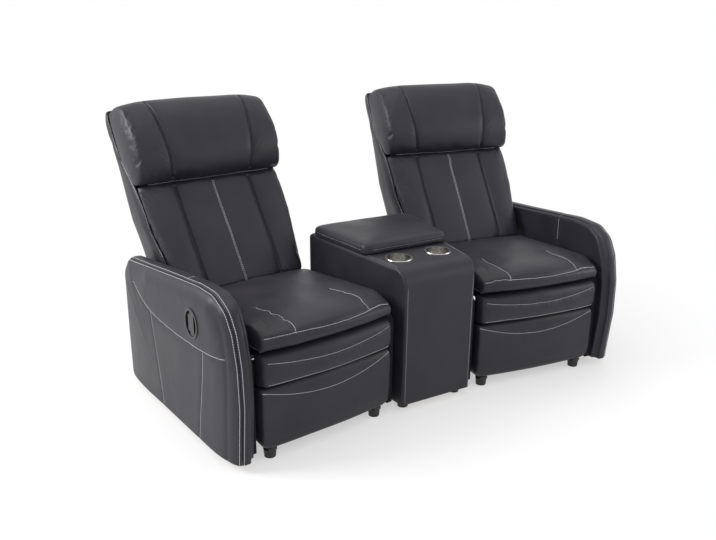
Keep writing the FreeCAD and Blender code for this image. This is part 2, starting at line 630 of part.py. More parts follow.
def back_shell():
    """The padded outer back: two sides and a rear skin, open to the front."""
    seam = BACK_SEAM + HEAD_SEAM
    skirt_y, skirt_z = BACK_REAR[-1]
    outline = list(seam) + list(BACK_REAR)
    skirt_top = SHELL_SIDE_BOTTOM + 16.0
    sides = [(seam[0][0] + 6.0, SHELL_SIDE_BOTTOM)] + outline
    sides += [(skirt_y - SHELL_WALL, skirt_z), (skirt_y - SHELL_WALL + 1.0, skirt_top)]
    radii = [10.0] + [1.0] * (len(seam) - 1) + [14.0, 30.0]
    radii += [200.0] * (len(BACK_REAR) - 2) + [4.0, 1.0, 1.0]
    body = prism(sides, radii, on_x(-400.0), vec(800.0, 0, 0)).common(front_view_limit(0.0))
    inner = [(y - 40.0, z + 8.0) for y, z in seam[:-1]] + [(seam[-1][0] - 40.0, seam[-1][1] - SHELL_WALL)]
    inner_rear = [(y - SHELL_WALL, z) for y, z in BACK_REAR[1:]]
    top = [(BACK_REAR[0][0] - 2.0 * SHELL_WALL, BACK_REAR[0][1] - SHELL_WALL)]
    below = [(skirt_y - SHELL_WALL - 2.0, skirt_z - 30.0), (seam[0][0] - 40.0, skirt_z - 30.0)]
    hollow = prism(inner + top + inner_rear + below, 3.0, on_x(-400.0), vec(800.0, 0, 0))
    hollow = hollow.common(front_view_limit(SHELL_WALL))
    return [body.cut(hollow)]


def back_cushion():
    """The back cushion: four soft channels between seams, tapering wider towards the head."""
    wires = []
    stations = list(zip(BACK_FACE, BACK_SEAM))
    for index, (face, seam) in enumerate(stations):
        z = face[1]
        half = half_width(z) - CUSHION_SIDE_GAP
        rear = along_line(BACK_SEAM, z) - 2.0 * SOFT_GAP
        front = face[0]
        last = index in (0, len(stations) - 1)
        crown = BACK_CROWN * (0.5 if last else 1.0)
        dip = SEAM_DEPTH
        edge = min(rear - CUSHION_REAR_STEP, front + crown + (CUSHION_END_LIP if last else CUSHION_LIP))
        knots = (-half, -BACK_CHANNEL, 0.0, BACK_CHANNEL, half)
        levels = (edge, front + dip, front + dip, front + dip, edge)
        plane = on_z(z)
        edges = [Part.LineSegment(plane(-half, rear), plane(half, rear)).toShape(),
                 Part.LineSegment(plane(half, rear), plane(half, edge)).toShape()]
        for step in range(len(knots) - 1, 0, -1):
            a, b = (knots[step], levels[step]), (knots[step - 1], levels[step - 1])
            lower = min(a[1], b[1])
            mid = (0.5 * (a[0] + b[0]), lower - dip if abs(a[1] - b[1]) < 0.1 else lower - dip * 0.4)
            edges.append(Part.Arc(plane(*a), plane(*mid), plane(*b)).toShape())
        edges.append(Part.LineSegment(plane(-half, edge), plane(-half, rear)).toShape())
        wires.append(Part.Wire(edges))
    return [loft(wires, True)]


def headrest():
    """The head pad that overhangs the back cushion and wraps to the side seam."""
    seam = HEAD_SEAM
    wires = []
    chin, cheek, brow, crest, crown, nape = HEAD_FACE
    for share, draw in HEAD_ENDS:
        x = share * (HEAD_HALF - HEAD_SIDE_GAP)
        points = [(seam[0][0] - 8.0, seam[0][1] + 1.0 + draw * 0.4), (chin[0] + draw, chin[1] + draw * 0.5),
                  (cheek[0] + draw, cheek[1]), (brow[0] + draw, brow[1]), (crest[0] + draw, crest[1] - draw),
                  (crown[0], crown[1] - draw), (nape[0], nape[1] - draw),
                  (seam[3][0] - 1.0, seam[3][1] + 2.0 - draw * 0.3),
                  (seam[2][0] - 1.0, seam[2][1]), (seam[1][0] - 1.0, seam[1][1])]
        wires.append(rounded_wire(points, HEAD_ROUNDING, on_x(x)))
    return [loft(wires, True)]


def back_frame():
    """Timber rails inside the back, and the steel arms that hang it on its pivots."""
    line = BACK_SEAM[1:] + (HEAD_SEAM[1], (along_line(HEAD_SEAM, BACK_RAIL_TOP), BACK_RAIL_TOP))
    front = [(y + BACK_RAIL_SETBACK, z - 4.0) for y, z in line]
    rear = [(y + BACK_RAIL_SETBACK + BACK_RAIL_WIDTH, z - 20.0) for y, z in line]
    foot_points = [(BACK_PIVOT[0] - 16.0, BACK_PIVOT[1] + 20.0)]
    heel = [(BACK_PIVOT[0] + 34.0, BACK_PIVOT[1] + 12.0)]
    outline = foot_points + front + rear[::-1] + heel
    rail = prism(outline, 5.0, on_x(BACK_RAIL_INNER), vec(BACK_RAIL_THICKNESS, 0, 0))
    pieces = both_sides([rail])
    for y, z in (line[1], line[4], line[6]):
        low = (-BACK_RAIL_INNER, y + 16.0, z - 4.0 - BACK_CROSS_HEIGHT)
        rear_y = y + 16.0 + BACK_CROSS_RAIL
        if z == BACK_RAIL_TOP:
            rear_y = along_line(BACK_REAR[::-1], low[2]) - SHELL_WALL - SOFT_GAP
        pieces.append(box(low, (BACK_RAIL_INNER, rear_y, z - 4.0)))
    return pieces


def back_arms():
    """Steel arms from the back's pivots to its timber rails."""
    y, z = BACK_PIVOT
    top = BACK_SEAM[2]
    points = [(y - 17.0, z - 12.0), (y - 13.0, z + 30.0), (top[0] + 12.0, top[1] - 8.0),
              (top[0] + 46.0, top[1] - 24.0), (y + 32.0, z + 20.0), (y + 17.0, z - 12.0)]
    arm = prism(points, (14.0, 30.0, 8.0, 8.0, 30.0, 14.0), on_x(BACK_ARM_LAYER), vec(STEEL, 0, 0))
    arm = pierced(arm, BACK_PIVOT, (BACK_ARM_LAYER + STEEL, BACK_ARM_LAYER))
    for step in BACK_ARM_BOLTS:
        place = moved(BACK_PIVOT, step)
        arm = arm.fuse(pin(place, BACK_ARM_LAYER - BACK_ARM_SPACER, BACK_ARM_LAYER, BOSS_RADIUS))
    return both_sides([arm.removeSplitter()])


def arm():
    """The outer arm: boxed plywood core, padded band and crowned outer panel."""
    outline = list(ARM_OUTLINE)
    rounding = list(ARM_ROUNDING)

    def section(x, draw):
        return rounded_wire(inset(outline, draw), rounding, on_x(x))

    width = ARM_OUTER - ARM_INNER
    band = loft([section(-ARM_INNER - share * width, draw) for share, draw in ARM_BAND_SECTIONS])
    core_outline = inset(outline, ARM_PADDING)
    core_from = -ARM_OUTER - 1.0
    core_to = -ARM_INNER - ARM_SKIN
    core_outline = [(y, z - 0.5 if z == UPHOLSTERY_BOTTOM else z) for y, z in core_outline]
    pocket = prism(core_outline, rounding, on_x(core_from), vec(core_to - core_from, 0, 0))
    pad = band.cut(pocket)
    core_in = core_to - SOFT_GAP
    core_out = -ARM_OUTER
    frame_outline = inset(outline, ARM_PADDING + SOFT_GAP)
    boards = [prism(frame_outline, rounding, on_x(core_out), vec(ARM_BOARD, 0, 0)),
              prism(frame_outline, rounding, on_x(core_in - ARM_BOARD), vec(ARM_BOARD, 0, 0))]
    mid_from, mid_to = core_out + ARM_BOARD, core_in - ARM_BOARD
    fill = prism(frame_outline, rounding, on_x(mid_from), vec(mid_to - mid_from, 0, 0))
    posts = inset(frame_outline, ARM_POST)
    void = prism(posts, rounding, on_x(mid_from - 1.0), vec(mid_to - mid_from + 2.0, 0, 0))
    ring = fill.cut(void)
    foot_bar = box((mid_from, posts[0][0], UPHOLSTERY_BOTTOM),
                   (mid_to, posts[-1][0], UPHOLSTERY_BOTTOM + ARM_POST))
    start = -ARM_OUTER - SOFT_GAP
    depth = ARM_BULGE - ARM_OUTER
    panel = loft([section(max(-ARM_BULGE, start - share * depth), draw)
                  for share, draw in ARM_PANEL_SECTIONS])
    panel = panel.cut(handle_solid(HANDLE_HALF_WIDTH + SOFT_GAP, HANDLE_HALF_HEIGHT + SOFT_GAP,
                                   -ARM_BULGE - 5.0, handle_floor() + SOFT_GAP))
    boards.append(ring.fuse(foot_bar).removeSplitter())
    return {"arm_pad": [pad], "arm_frame": boards, "arm_panel": [panel]}


def handle_floor():
    """The x of the outer face of the handle dish's floor, deep in the panel."""
    return -ARM_BULGE + HANDLE_DEPTH


def handle_oval(half_y, half_z, x):
    """An oval outline about the handle's place, taller than wide."""
    y, z = HANDLE_PLACE
    axis = Part.Ellipse(vec(x, y, z + half_z), vec(x, y + half_y, z), vec(x, y, z))
    return Part.Wire([axis.toShape()])


def handle_solid(half_y, half_z, x_from, x_to):
    return Part.Face(handle_oval(half_y, half_z, x_from)).extrude(vec(x_to - x_from, 0, 0))


def handle():
    """A recessed dish with a rim, and a sprung pull inside it on an upright pin."""
    y, z = HANDLE_PLACE
    face = -ARM_BULGE
    floor = handle_floor()
    dish = handle_solid(HANDLE_HALF_WIDTH, HANDLE_HALF_HEIGHT, face, floor)
    rim = handle_solid(HANDLE_HALF_WIDTH + HANDLE_RIM, HANDLE_HALF_HEIGHT + HANDLE_RIM,
                       face - HANDLE_RIM_PROUD - SOFT_GAP, face - SOFT_GAP)
    hollow = handle_solid(HANDLE_HALF_WIDTH - HANDLE_WALL, HANDLE_HALF_HEIGHT - HANDLE_WALL,
                          face - HANDLE_RIM_PROUD - 1.0, floor - HANDLE_WALL)
    neck = handle_solid(HANDLE_HALF_WIDTH, HANDLE_HALF_HEIGHT, face - SOFT_GAP, face)
    bezel = dish.fuse(neck).fuse(rim).cut(hollow)
    pin_y, pin_x = handle_pin()
    reach = HANDLE_HALF_HEIGHT * PADDLE_REACH
    post_end = reach + SPINDLE_POST_GAP + SPINDLE_POST
    barrel_radius = PADDLE_PIN_RADIUS + PADDLE_BARREL_WALL
    spindle = rod((pin_x, pin_y, z - post_end), (pin_x, pin_y, z + post_end), PADDLE_PIN_RADIUS)
    for low in (z - post_end, z + post_end - SPINDLE_POST):
        post = box((pin_x - 4.0, pin_y - 4.0, low), (floor - HANDLE_WALL, pin_y + 4.0, low + SPINDLE_POST))
        bezel = bezel.fuse(post)
    bezel = bezel.fuse(spindle)
    inner_y = HANDLE_HALF_WIDTH - HANDLE_WALL - PADDLE_EDGE_GAP
    inner_z = HANDLE_HALF_HEIGHT - HANDLE_WALL - PADDLE_EDGE_GAP
    front = face - HANDLE_RIM_PROUD + PADDLE_SUNK
    blade = handle_solid(inner_y, inner_z, front, front + PADDLE_THICKNESS)
    window = box((front - 5.0, y - inner_y - 5.0, z - inner_z - 5.0),
                 (front + PADDLE_THICKNESS + 5.0, y - inner_y + PADDLE_GAP, z + inner_z + 5.0))
    behind = box((front - 5.0, pin_y - PADDLE_TAIL, z - inner_z - 5.0),
                 (front + PADDLE_THICKNESS + 5.0, y + inner_y + 5.0, z + inner_z + 5.0))
    blade = blade.cut(window).cut(behind)
    for low, high in ((z - inner_z - 5.0, z - reach), (z + reach, z + inner_z + 5.0)):
        blade = blade.cut(box((front - 5.0, pin_y - PADDLE_SHOULDER, low),
                              (front + PADDLE_THICKNESS + 5.0, y + inner_y + 5.0, high)))
    barrel = rod((pin_x, pin_y, z - reach), (pin_x, pin_y, z + reach), barrel_radius)
    web = box((front + 1.0, pin_y - 4.0, z - reach), (pin_x, pin_y + 2.0, z + reach))
    bore = rod((pin_x, pin_y, z - reach - 1.0), (pin_x, pin_y, z + reach + 1.0),
               PADDLE_PIN_RADIUS + PIN_CLEARANCE)
    paddle = blade.fuse(web).fuse(barrel).cut(bore)
    return {"handle_bezel": [bezel.removeSplitter()], "handle_paddle": [paddle.removeSplitter()]}


def handle_pin():
    """The y and x of the pull's upright pin."""
    return HANDLE_PLACE[0] + HANDLE_HALF_WIDTH * 0.5, -ARM_BULGE + 8.0


def seat_nodes():
    """Every node of one seat, as lists of solids in the seat's own frame."""
    nodes = dict(seat_base())
    nodes["side_plates"] = mechanism_plates()
    nodes["seat_frame"] = seat_frame()
    nodes["seat_webbing"] = seat_webbing()
    nodes["seat_cushion"] = seat_cushion()
    nodes.update(footrest())
    nodes.update(footrest_links())
    nodes["back_shell"] = back_shell()
    nodes["back_cushion"] = back_cushion()
    nodes["headrest"] = headrest()
    nodes["back_frame"] = back_frame()
    nodes["back_arms"] = back_arms()
    nodes.update(arm())
    nodes.update(handle())
    return nodes


def placed(shape, side):
    """A seat's piece in its place in the row; the right seat is the left one mirrored."""
    copy = shape.copy() if side == "left" else shape.mirror(vec(0, 0, 0), vec(1, 0, 0))
    way = 1.0 if side == "left" else -1.0
    copy.rotate(vec(0, 0, 0), vec(0, 0, 1), way * SEAT_TURN)
    copy.translate(vec(-way * SEAT_OFFSET, 0, 0))
    return copy


def wedge_half(y, offset=0.0):
    """Half the console's width at a depth, its sides parallel to the seats beside it."""
    turn = math.radians(SEAT_TURN)
    return SEAT_OFFSET - CONSOLE_SIDE / math.cos(turn) + y * math.tan(turn) - offset / math.cos(turn)


def wedge(y_from, y_to, z_from, z_to, offset=0.0, radius=1.0):
    points = [(-wedge_half(y_from, offset), y_from), (wedge_half(y_from, offset), y_from),
              (wedge_half(y_to, offset), y_to), (-wedge_half(y_to, offset), y_to)]
    return prism(points, radius, on_z(z_from), vec(0, 0, z_to - z_from))


def console_profile(draw, bottom):
    """The console's side view: upright front, rounded shoulder, flat top."""
    points = [(CONSOLE_FRONT + draw, bottom), (CONSOLE_FRONT + draw, CONSOLE_TOP - draw),
              (CONSOLE_REAR - draw, CONSOLE_TOP - draw), (CONSOLE_REAR - draw, bottom)]
    radii = (1.0, CONSOLE_SHOULDER - draw, 6.0, 1.0)
    return prism(points, radii, on_x(-400.0), vec(800.0, 0, 0))


def console_body(draw, bottom):
    body = wedge(CONSOLE_FRONT + draw, CONSOLE_REAR - draw, bottom, CONSOLE_TOP, draw,
                 CONSOLE_EDGE - draw * 0.5)
    return body.common(console_profile(draw, bottom))


def console():
    """The wedge console: padded cover on a plywood box, with bin, cups and hinged lid."""
    cover = console_body(0.0, UPHOLSTERY_BOTTOM).cut(console_body(COVER_THICKNESS, UPHOLSTERY_BOTTOM - 1.0))
    core_draw = COVER_THICKNESS + SOFT_GAP
    wall_draw = core_draw + CONSOLE_WALL
    frame = console_body(core_draw, UPHOLSTERY_BOTTOM).cut(console_body(wall_draw, UPHOLSTERY_BOTTOM - 1.0))
    mouth = wedge(BIN_FRONT, BIN_REAR, CONSOLE_TOP - BIN_DEPTH, CONSOLE_TOP + 5.0, BIN_SIDE_INSET, 12.0)
    cover, frame = cover.cut(mouth), frame.cut(mouth)
    cups = []
    for way in (-1, 1):
        place = vec(way * CUP_OFFSET, CUP_PLACE, 0)
        hole = Part.makeCylinder(CUP_RADIUS + CUP_WALL + SOFT_GAP, CUP_DEPTH + 20.0,
                                 place + vec(0, 0, CONSOLE_TOP - CUP_DEPTH - 10.0))
        cover, frame = cover.cut(hole), frame.cut(hole)
        cups.append(cup(place))
    rim = wedge(BIN_FRONT + SOFT_GAP, BIN_REAR - SOFT_GAP, CONSOLE_TOP - BIN_DEPTH, CONSOLE_TOP,
                BIN_SIDE_INSET + SOFT_GAP, 12.0)
    inside = wedge(BIN_FRONT + BIN_WALL, BIN_REAR - BIN_WALL, CONSOLE_TOP - BIN_DEPTH + BIN_WALL,
                   CONSOLE_TOP + 1.0, BIN_SIDE_INSET + BIN_WALL, 9.0)
    storage = rim.cut(inside)
    low = CONSOLE_TOP + LID_GAP
    board = wedge(LID_FRONT + 8.0, LID_REAR, low, low + LID_BOARD, 8.0, 14.0)
    pad_wires = []
    pad_low = low + LID_BOARD + SOFT_GAP
    for rise, draw in LID_PAD_SECTIONS:
        points = [(-wedge_half(LID_FRONT + draw, draw), LID_FRONT + draw),
                  (wedge_half(LID_FRONT + draw, draw), LID_FRONT + draw),
                  (wedge_half(LID_REAR - draw, draw), LID_REAR - draw),
                  (-wedge_half(LID_REAR - draw, draw), LID_REAR - draw)]
        pad_wires.append(rounded_wire(points, 22.0, on_z(pad_low + rise)))
    nodes = {"console_cover": [cover], "console_frame": [frame], "console_bin": [storage],
             "cup_holders": cups, "lid_board": [board], "lid_pad": [loft(pad_wires)]}
    nodes.update(lid_hinge())
    return nodes


def cup(place):
    """A spun steel cup with a flat flange."""
    top = CONSOLE_TOP + CUP_FLANGE_THICKNESS
    low = CONSOLE_TOP - CUP_DEPTH
    seat = CONSOLE_TOP + SOFT_GAP
    outline = [(0.0, low), (CUP_RADIUS - 4.0, low), (CUP_RADIUS + CUP_WALL, low + 6.0),
               (CUP_RADIUS + CUP_WALL, seat), (CUP_FLANGE, seat), (CUP_FLANGE - 1.0, top), (CUP_RADIUS, top),
               (CUP_RADIUS, low + 7.0), (CUP_RADIUS - 5.0, low + CUP_WALL), (0.0, low + CUP_WALL)]
    wire = Part.makePolygon([place + vec(r, 0, z) for r, z in outline + outline[:1]])
    return Part.Face(wire).revolve(place, vec(0, 0, 1), 360)


def lid_axis():
    """The y and z of the lid hinge's pin, just behind the lid."""
    return LID_REAR + HINGE_RADIUS + 1.0, CONSOLE_TOP + HINGE_RADIUS + 1.0


def lid_hinge():
    """A long butt hinge: knuckles in turn on the console and on the lid, on one pin."""
    y, z = lid_axis()
    knuckle = HINGE_LENGTH / HINGE_KNUCKLES
    fixed, moving = [], []
    for index in range(HINGE_KNUCKLES):
        start = -HINGE_LENGTH / 2 + index * knuckle + HINGE_END_PLAY
        end = start + knuckle - 2 * HINGE_END_PLAY
        barrel = rod((start, y, z), (end, y, z), HINGE_RADIUS)
        if index % 2 == 0:
            low = CONSOLE_TOP + HINGE_LIFT
            leaf = box((start, y, low), (end, y + HINGE_LEAF_REACH, low + HINGE_LEAF))
            neck = box((start, y, low), (end, y + HINGE_RADIUS, z))
            fixed.append(barrel.fuse(leaf).fuse(neck))
        else:
            tab_z = CONSOLE_TOP + LID_GAP
            leaf = box((start, LID_REAR, tab_z), (end, y, tab_z + LID_BOARD * 0.8))
            piece = barrel.fuse(leaf)
            bore = rod((start - 1.0, y, z), (end + 1.0, y, z), HINGE_RADIUS * 0.5 + PIN_CLEARANCE)
            moving.append(piece.cut(bore).removeSplitter())
    half = HINGE_LENGTH / 2 - HINGE_END_PLAY
    pin_rod = rod((-half, y, z), (half, y, z), HINGE_RADIUS * 0.5)
    fixed_piece = fixed[0].fuse(fixed[1:] + [pin_rod]).removeSplitter()
    return {"hinge_leaf": [fixed_piece], "lid_hinge": moving}


def console_feet():
    places = [(CONSOLE_FRONT + 50.0, 42.0), (CONSOLE_REAR - 45.0, 60.0)]
    return [foot(way * (wedge_half(y) - inwards), y) for way in (-1, 1) for y, inwards in places]


def console_rails():
    """Ply battens across the console's foot, standing on its feet."""
    battens = []
    draw = COVER_THICKNESS + CONSOLE_WALL + 2 * SOFT_GAP
    for y in (CONSOLE_FRONT + draw + BATTEN_WIDTH / 2, CONSOLE_REAR - draw - BATTEN_WIDTH / 2):
        battens.append(wedge(y - BATTEN_WIDTH / 2, y + BATTEN_WIDTH / 2, FOOT_HEIGHT,
                             FOOT_HEIGHT + BATTEN_HEIGHT, draw))
    return battens


def connectors():
    """Steel hook plates that tie each seat board to the console's side."""
    outer = BOARD_INNER + BOARD_THICKNESS
    seat_end = outer + CONNECTOR_PLATE
    console_face = CONSOLE_SIDE - CONNECTOR_PLATE
    hook_end = console_face - SOFT_GAP
    low, high = CONNECTOR_LEVEL, CONNECTOR_LEVEL + CONNECTOR_HEIGHT
    lip_top = low + CONNECTOR_HEIGHT * CONNECTOR_LIP
    pieces = []
    for y in CONNECTOR_PLACES:
        end = y + CONNECTOR_WIDTH
        seat_plate = box((outer, y, low), (seat_end, end, high))
        hook = box((outer, y, low), (hook_end, end, low + CONNECTOR_PLATE))
        lip = box((hook_end - CONNECTOR_PLATE, y, low), (hook_end, end, lip_top))
        console_plate = box((console_face, y, low + CONNECTOR_PLATE + SOFT_GAP), (CONSOLE_SIDE, end, high))
        pieces += [seat_plate.fuse(hook).fuse(lip).removeSplitter(), console_plate]
    return pieces


def all_nodes():
    """Every node of the row, before it is centred."""
    nodes = {}
    feet = []
    hooks = []
    seat = seat_nodes()
    for side in ("left", "right"):
        for name, solids in seat.items():
            nodes[side + "_" + name] = [placed(solid, side) for solid in solids]
        feet += [placed(solid, side) for solid in seat_feet()]
        hooks += [placed(solid, side) for solid in connectors()]
    nodes.update(console())
    nodes["console_frame"] += console_rails()
    nodes["feet"] = feet + console_feet()
    nodes["connectors"] = hooks
    return nodes


def row_point(side, point, shift):
    """A point of the seat's own frame, in the row's frame, for the joints."""
    vertex = placed(Part.Vertex(vec(*point)), side)
    place = vertex.Point
    return "%.4f %.4f %.4f" % (place.x, place.y - shift, place.z)


def main():
    nodes = all_nodes()
    bounds = FreeCAD.BoundBox()
    for solids in nodes.values():
        for solid in solids:
            bounds.add(solid.optimalBoundingBox(False))
    shift = 0.5 * (bounds.YMin + bounds.YMax)
    for name, solids in nodes.items():
        for solid in solids:
            solid.translate(vec(0, -shift, 0))
            if not solid.isValid():
                print("not valid:", name)
        shape = solids[0] if len(solids) == 1 else Part.makeCompound(solids)
        shape.exportStep("parts/%s.step" % name)
    print("centre shift %.4f" % shift)
    print("size %.1f %.1f %.1f" % (bounds.XLength, bounds.YLength, bounds.ZLength))
    pin_y, pin_x = handle_pin()
    pivots = {"main": (0, *MAIN_PIVOT), "cross": (0, *MAIN_END), "footrest": (0, *FOOTREST_PIVOT),
              "guide": (0, *GUIDE_PIVOT), "stay": (0, *STAY_START), "back": (0, *BACK_PIVOT),
              "paddle": (pin_x, pin_y, HANDLE_PLACE[1]),
              "foot": (-RAIL_HALF_TRACK, RAIL_FRONT + FOOT_SETBACK, 0)}
    for side in ("left", "right"):
        for name, point in pivots.items():
            print("pivot %s %s %s" % (side, name, row_point(side, point, shift)))
    lid_y, lid_z = lid_axis()
    print("pivot console lid 0 %.4f %.4f" % (lid_y - shift, lid_z))


main()
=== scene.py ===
import json
import math

import bmesh
import bpy
import numpy as np
from mathutils import Matrix, Vector
from mathutils.bvhtree import BVHTree


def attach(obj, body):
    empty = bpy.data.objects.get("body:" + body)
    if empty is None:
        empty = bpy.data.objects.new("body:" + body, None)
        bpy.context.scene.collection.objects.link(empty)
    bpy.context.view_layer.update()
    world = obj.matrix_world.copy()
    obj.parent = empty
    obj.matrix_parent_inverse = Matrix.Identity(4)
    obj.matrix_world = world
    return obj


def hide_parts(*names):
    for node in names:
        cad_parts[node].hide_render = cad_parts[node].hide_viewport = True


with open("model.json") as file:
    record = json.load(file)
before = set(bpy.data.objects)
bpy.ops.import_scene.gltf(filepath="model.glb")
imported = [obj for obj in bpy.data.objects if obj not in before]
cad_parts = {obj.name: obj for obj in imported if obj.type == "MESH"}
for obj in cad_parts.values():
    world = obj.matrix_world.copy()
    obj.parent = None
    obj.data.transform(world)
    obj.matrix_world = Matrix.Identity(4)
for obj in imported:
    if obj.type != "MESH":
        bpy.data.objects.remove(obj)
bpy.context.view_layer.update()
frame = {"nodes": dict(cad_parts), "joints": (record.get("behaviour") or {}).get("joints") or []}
scene = bpy.context.scene

# The viewpoint: the row is seen from the left front and a little above, by a standing visitor.
# The lens is given by its focal length in pixels of a 716 pixel wide picture.
PICTURE_WIDTH = 716
FOCAL_PIXELS = 769.96
SENSOR = 36.0
VIEW_TURN = math.radians(-30.4686)
VIEW_RISE = math.radians(19.1578)
VIEW_ROLL = math.radians(-0.4638)
VIEW_PLACE = (-1.5873, -2.5931, 1.4451)

camera_data = bpy.data.cameras.new("camera")
camera_data.sensor_width = SENSOR
camera_data.lens = FOCAL_PIXELS * SENSOR / PICTURE_WIDTH
camera = bpy.data.objects.new("camera", camera_data)
scene.collection.objects.link(camera)
scene.camera = camera
back_axis = Vector((math.sin(VIEW_TURN) * math.cos(VIEW_RISE), -math.cos(VIEW_TURN) * math.cos(VIEW_RISE),
                    math.sin(VIEW_RISE)))
right_axis = Vector((0, 0, 1)).cross(back_axis).normalized()
up_axis = back_axis.cross(right_axis)
roll_cos, roll_sin = math.cos(VIEW_ROLL), math.sin(VIEW_ROLL)
picture_right = right_axis * roll_cos - up_axis * roll_sin
picture_up = right_axis * roll_sin + up_axis * roll_cos
axes = Matrix((picture_right, picture_up, back_axis)).transposed()
camera.matrix_world = Matrix.Translation(VIEW_PLACE) @ axes.to_4x4()


# The studio: a white sweep that keeps the row's soft shadow and turns pure white away from it,
# one large lamp high on the left, one overhead, a weaker one at the right front,
# and an even pale surround.
def node_set(owner):
    """Empties a material's or a world's nodes. Returns a function that adds a node: its values
    are numbers, outputs of other nodes, or nodes that stand for their first output."""
    owner.use_nodes = True
    tree = owner.node_tree
    tree.nodes.clear()

    def add(kind, values=None, **settings):
        node = tree.nodes.new(kind)
        for name, value in settings.items():
            setattr(node, name, value)
        for name, value in (values or {}).items():
            if isinstance(value, bpy.types.Node):
                value = value.outputs[0]
            if isinstance(value, bpy.types.NodeSocket):
                tree.links.new(value, node.inputs[name])
            else:
                node.inputs[name].default_value = value
        return node

    return add


def background_rays(add):
    """One for rays that look at the surround: seen by the camera, mirrored, or through glass."""
    rays = add("ShaderNodeLightPath").outputs
    first = add("ShaderNodeMath", {0: rays["Is Camera Ray"], 1: rays["Is Glossy Ray"]}, operation="MAXIMUM")
    return add("ShaderNodeMath", {0: first, 1: rays["Is Transmission Ray"]}, operation="MAXIMUM")


FLOOR_HALF = 9.0
FLOOR_WHITE = (0.88, 0.88, 0.88, 1.0)
FLOOR_SQUEEZE = (0.72, 1.0, 1.0)
SHADOW_REACH = (0.95, 1.55)
SHADOW_LIFT = 0.5
SURROUND = (0.86, 0.86, 0.87, 1.0)
WHITE = (1, 1, 1, 1)
floor_mesh = bpy.data.meshes.new("floor")
floor_mesh.from_pydata([(-FLOOR_HALF, -FLOOR_HALF, 0), (FLOOR_HALF, -FLOOR_HALF, 0),
                        (FLOOR_HALF, FLOOR_HALF, 0), (-FLOOR_HALF, FLOOR_HALF, 0)], [], [(0, 1, 2, 3)])
floor = bpy.data.objects.new("floor", floor_mesh)
scene.collection.objects.link(floor)
sweep = bpy.data.materials.new("white_sweep")
add = node_set(sweep)
place = add("ShaderNodeTexCoord").outputs["Object"]
squeeze = add("ShaderNodeMapping", {"Vector": place, "Scale": FLOOR_SQUEEZE})
span = add("ShaderNodeVectorMath", {0: squeeze}, operation="LENGTH")
fade = add("ShaderNodeMapRange", {"Value": span.outputs["Value"], "From Min": SHADOW_REACH[0],
                                  "From Max": SHADOW_REACH[1], "To Min": SHADOW_LIFT},
           interpolation_type="SMOOTHSTEP")
away = add("ShaderNodeMath", {0: fade, 1: background_rays(add)}, operation="MULTIPLY")
lit = add("ShaderNodeBsdfDiffuse", {"Color": FLOOR_WHITE})
bright = add("ShaderNodeEmission", {"Color": WHITE, "Strength": 1.0})
add("ShaderNodeOutputMaterial", {"Surface": add("ShaderNodeMixShader", {0: away, 1: lit, 2: bright})})
floor_mesh.materials.append(sweep)

world = bpy.data.worlds.new("surround")
scene.world = world
add = node_set(world)
around = add("ShaderNodeBackground", {"Color": SURROUND, "Strength": 1.0})
seen = add("ShaderNodeBackground", {"Color": WHITE, "Strength": 1.0})
add("ShaderNodeOutputWorld",
    {"Surface": add("ShaderNodeMixShader", {0: background_rays(add), 1: around, 2: seen})})


def soft_lamp(name, place, target, size, watts):
    """A square area lamp that faces its target."""
    data = bpy.data.lights.new(name, "AREA")
    data.size = size
    data.energy = watts
    lamp = bpy.data.objects.new(name, data)
    lamp.location = place
    lamp.rotation_mode = "QUATERNION"
    lamp.rotation_quaternion = (Vector(target) - Vector(place)).to_track_quat("-Z", "Y")
    scene.collection.objects.link(lamp)


soft_lamp("left_lamp", (-4.2, 1.2, 2.9), (0, 0, 0.6), 2.0, 190.0)
soft_lamp("top_lamp", (0.2, 0.2, 4.2), (0, 0, 0.4), 2.6, 25.0)
soft_lamp("front_lamp", (3.4, -2.4, 1.6), (0.6, 0, 0.5), 1.6, 36.0)

scene.view_settings.view_transform = "Standard"

# Seat cushions: each is sprung foam in black grained leather, its front rolled over.
# Two short seams run back from the front edge, and a light thread runs along the roll.
MM = 0.001
SIDES = ("left", "right")
BACK_HINGE_DEPTH = 0.150
recline = next(joint for joint in frame["joints"] if joint["name"] == "left_back_recline")
TURN_COS, TURN_SIN = -recline["axis"][0], -recline["axis"][1]
SEAT_X = recline["pos_m"][0] + BACK_HINGE_DEPTH * TURN_SIN
SEAT_Y = recline["pos_m"][1] - BACK_HINGE_DEPTH * TURN_COS


def in_row(points, side):
    """Points of a seat's own drawing, in millimetres, put in the row in metres: turned about the
    upright, shifted to the seat's place, and mirrored across the middle for the right seat."""
    p = np.asarray(points, float) * MM
    x = SEAT_X + TURN_COS * p[..., 0] - TURN_SIN * p[..., 1]
    y = SEAT_Y + TURN_SIN * p[..., 0] + TURN_COS * p[..., 1]
    if side == "right":
        x = -x
    return np.stack([x, y, p[..., 2]], axis=-1)


def run_length(points):
    """The distance along a line at each of its points."""
    return np.concatenate([[0.0], np.cumsum(np.linalg.norm(np.diff(points, axis=0), axis=1))])


def unit(vectors):
    """The same directions, each of length one."""
    return vectors / np.maximum(np.linalg.norm(vectors, axis=-1, keepdims=True), 1e-12)


def depth_at(z, curve):
    """The depth of a side view's line at a height."""
    return np.interp(z, [point[1] for point in curve], [point[0] for point in curve])


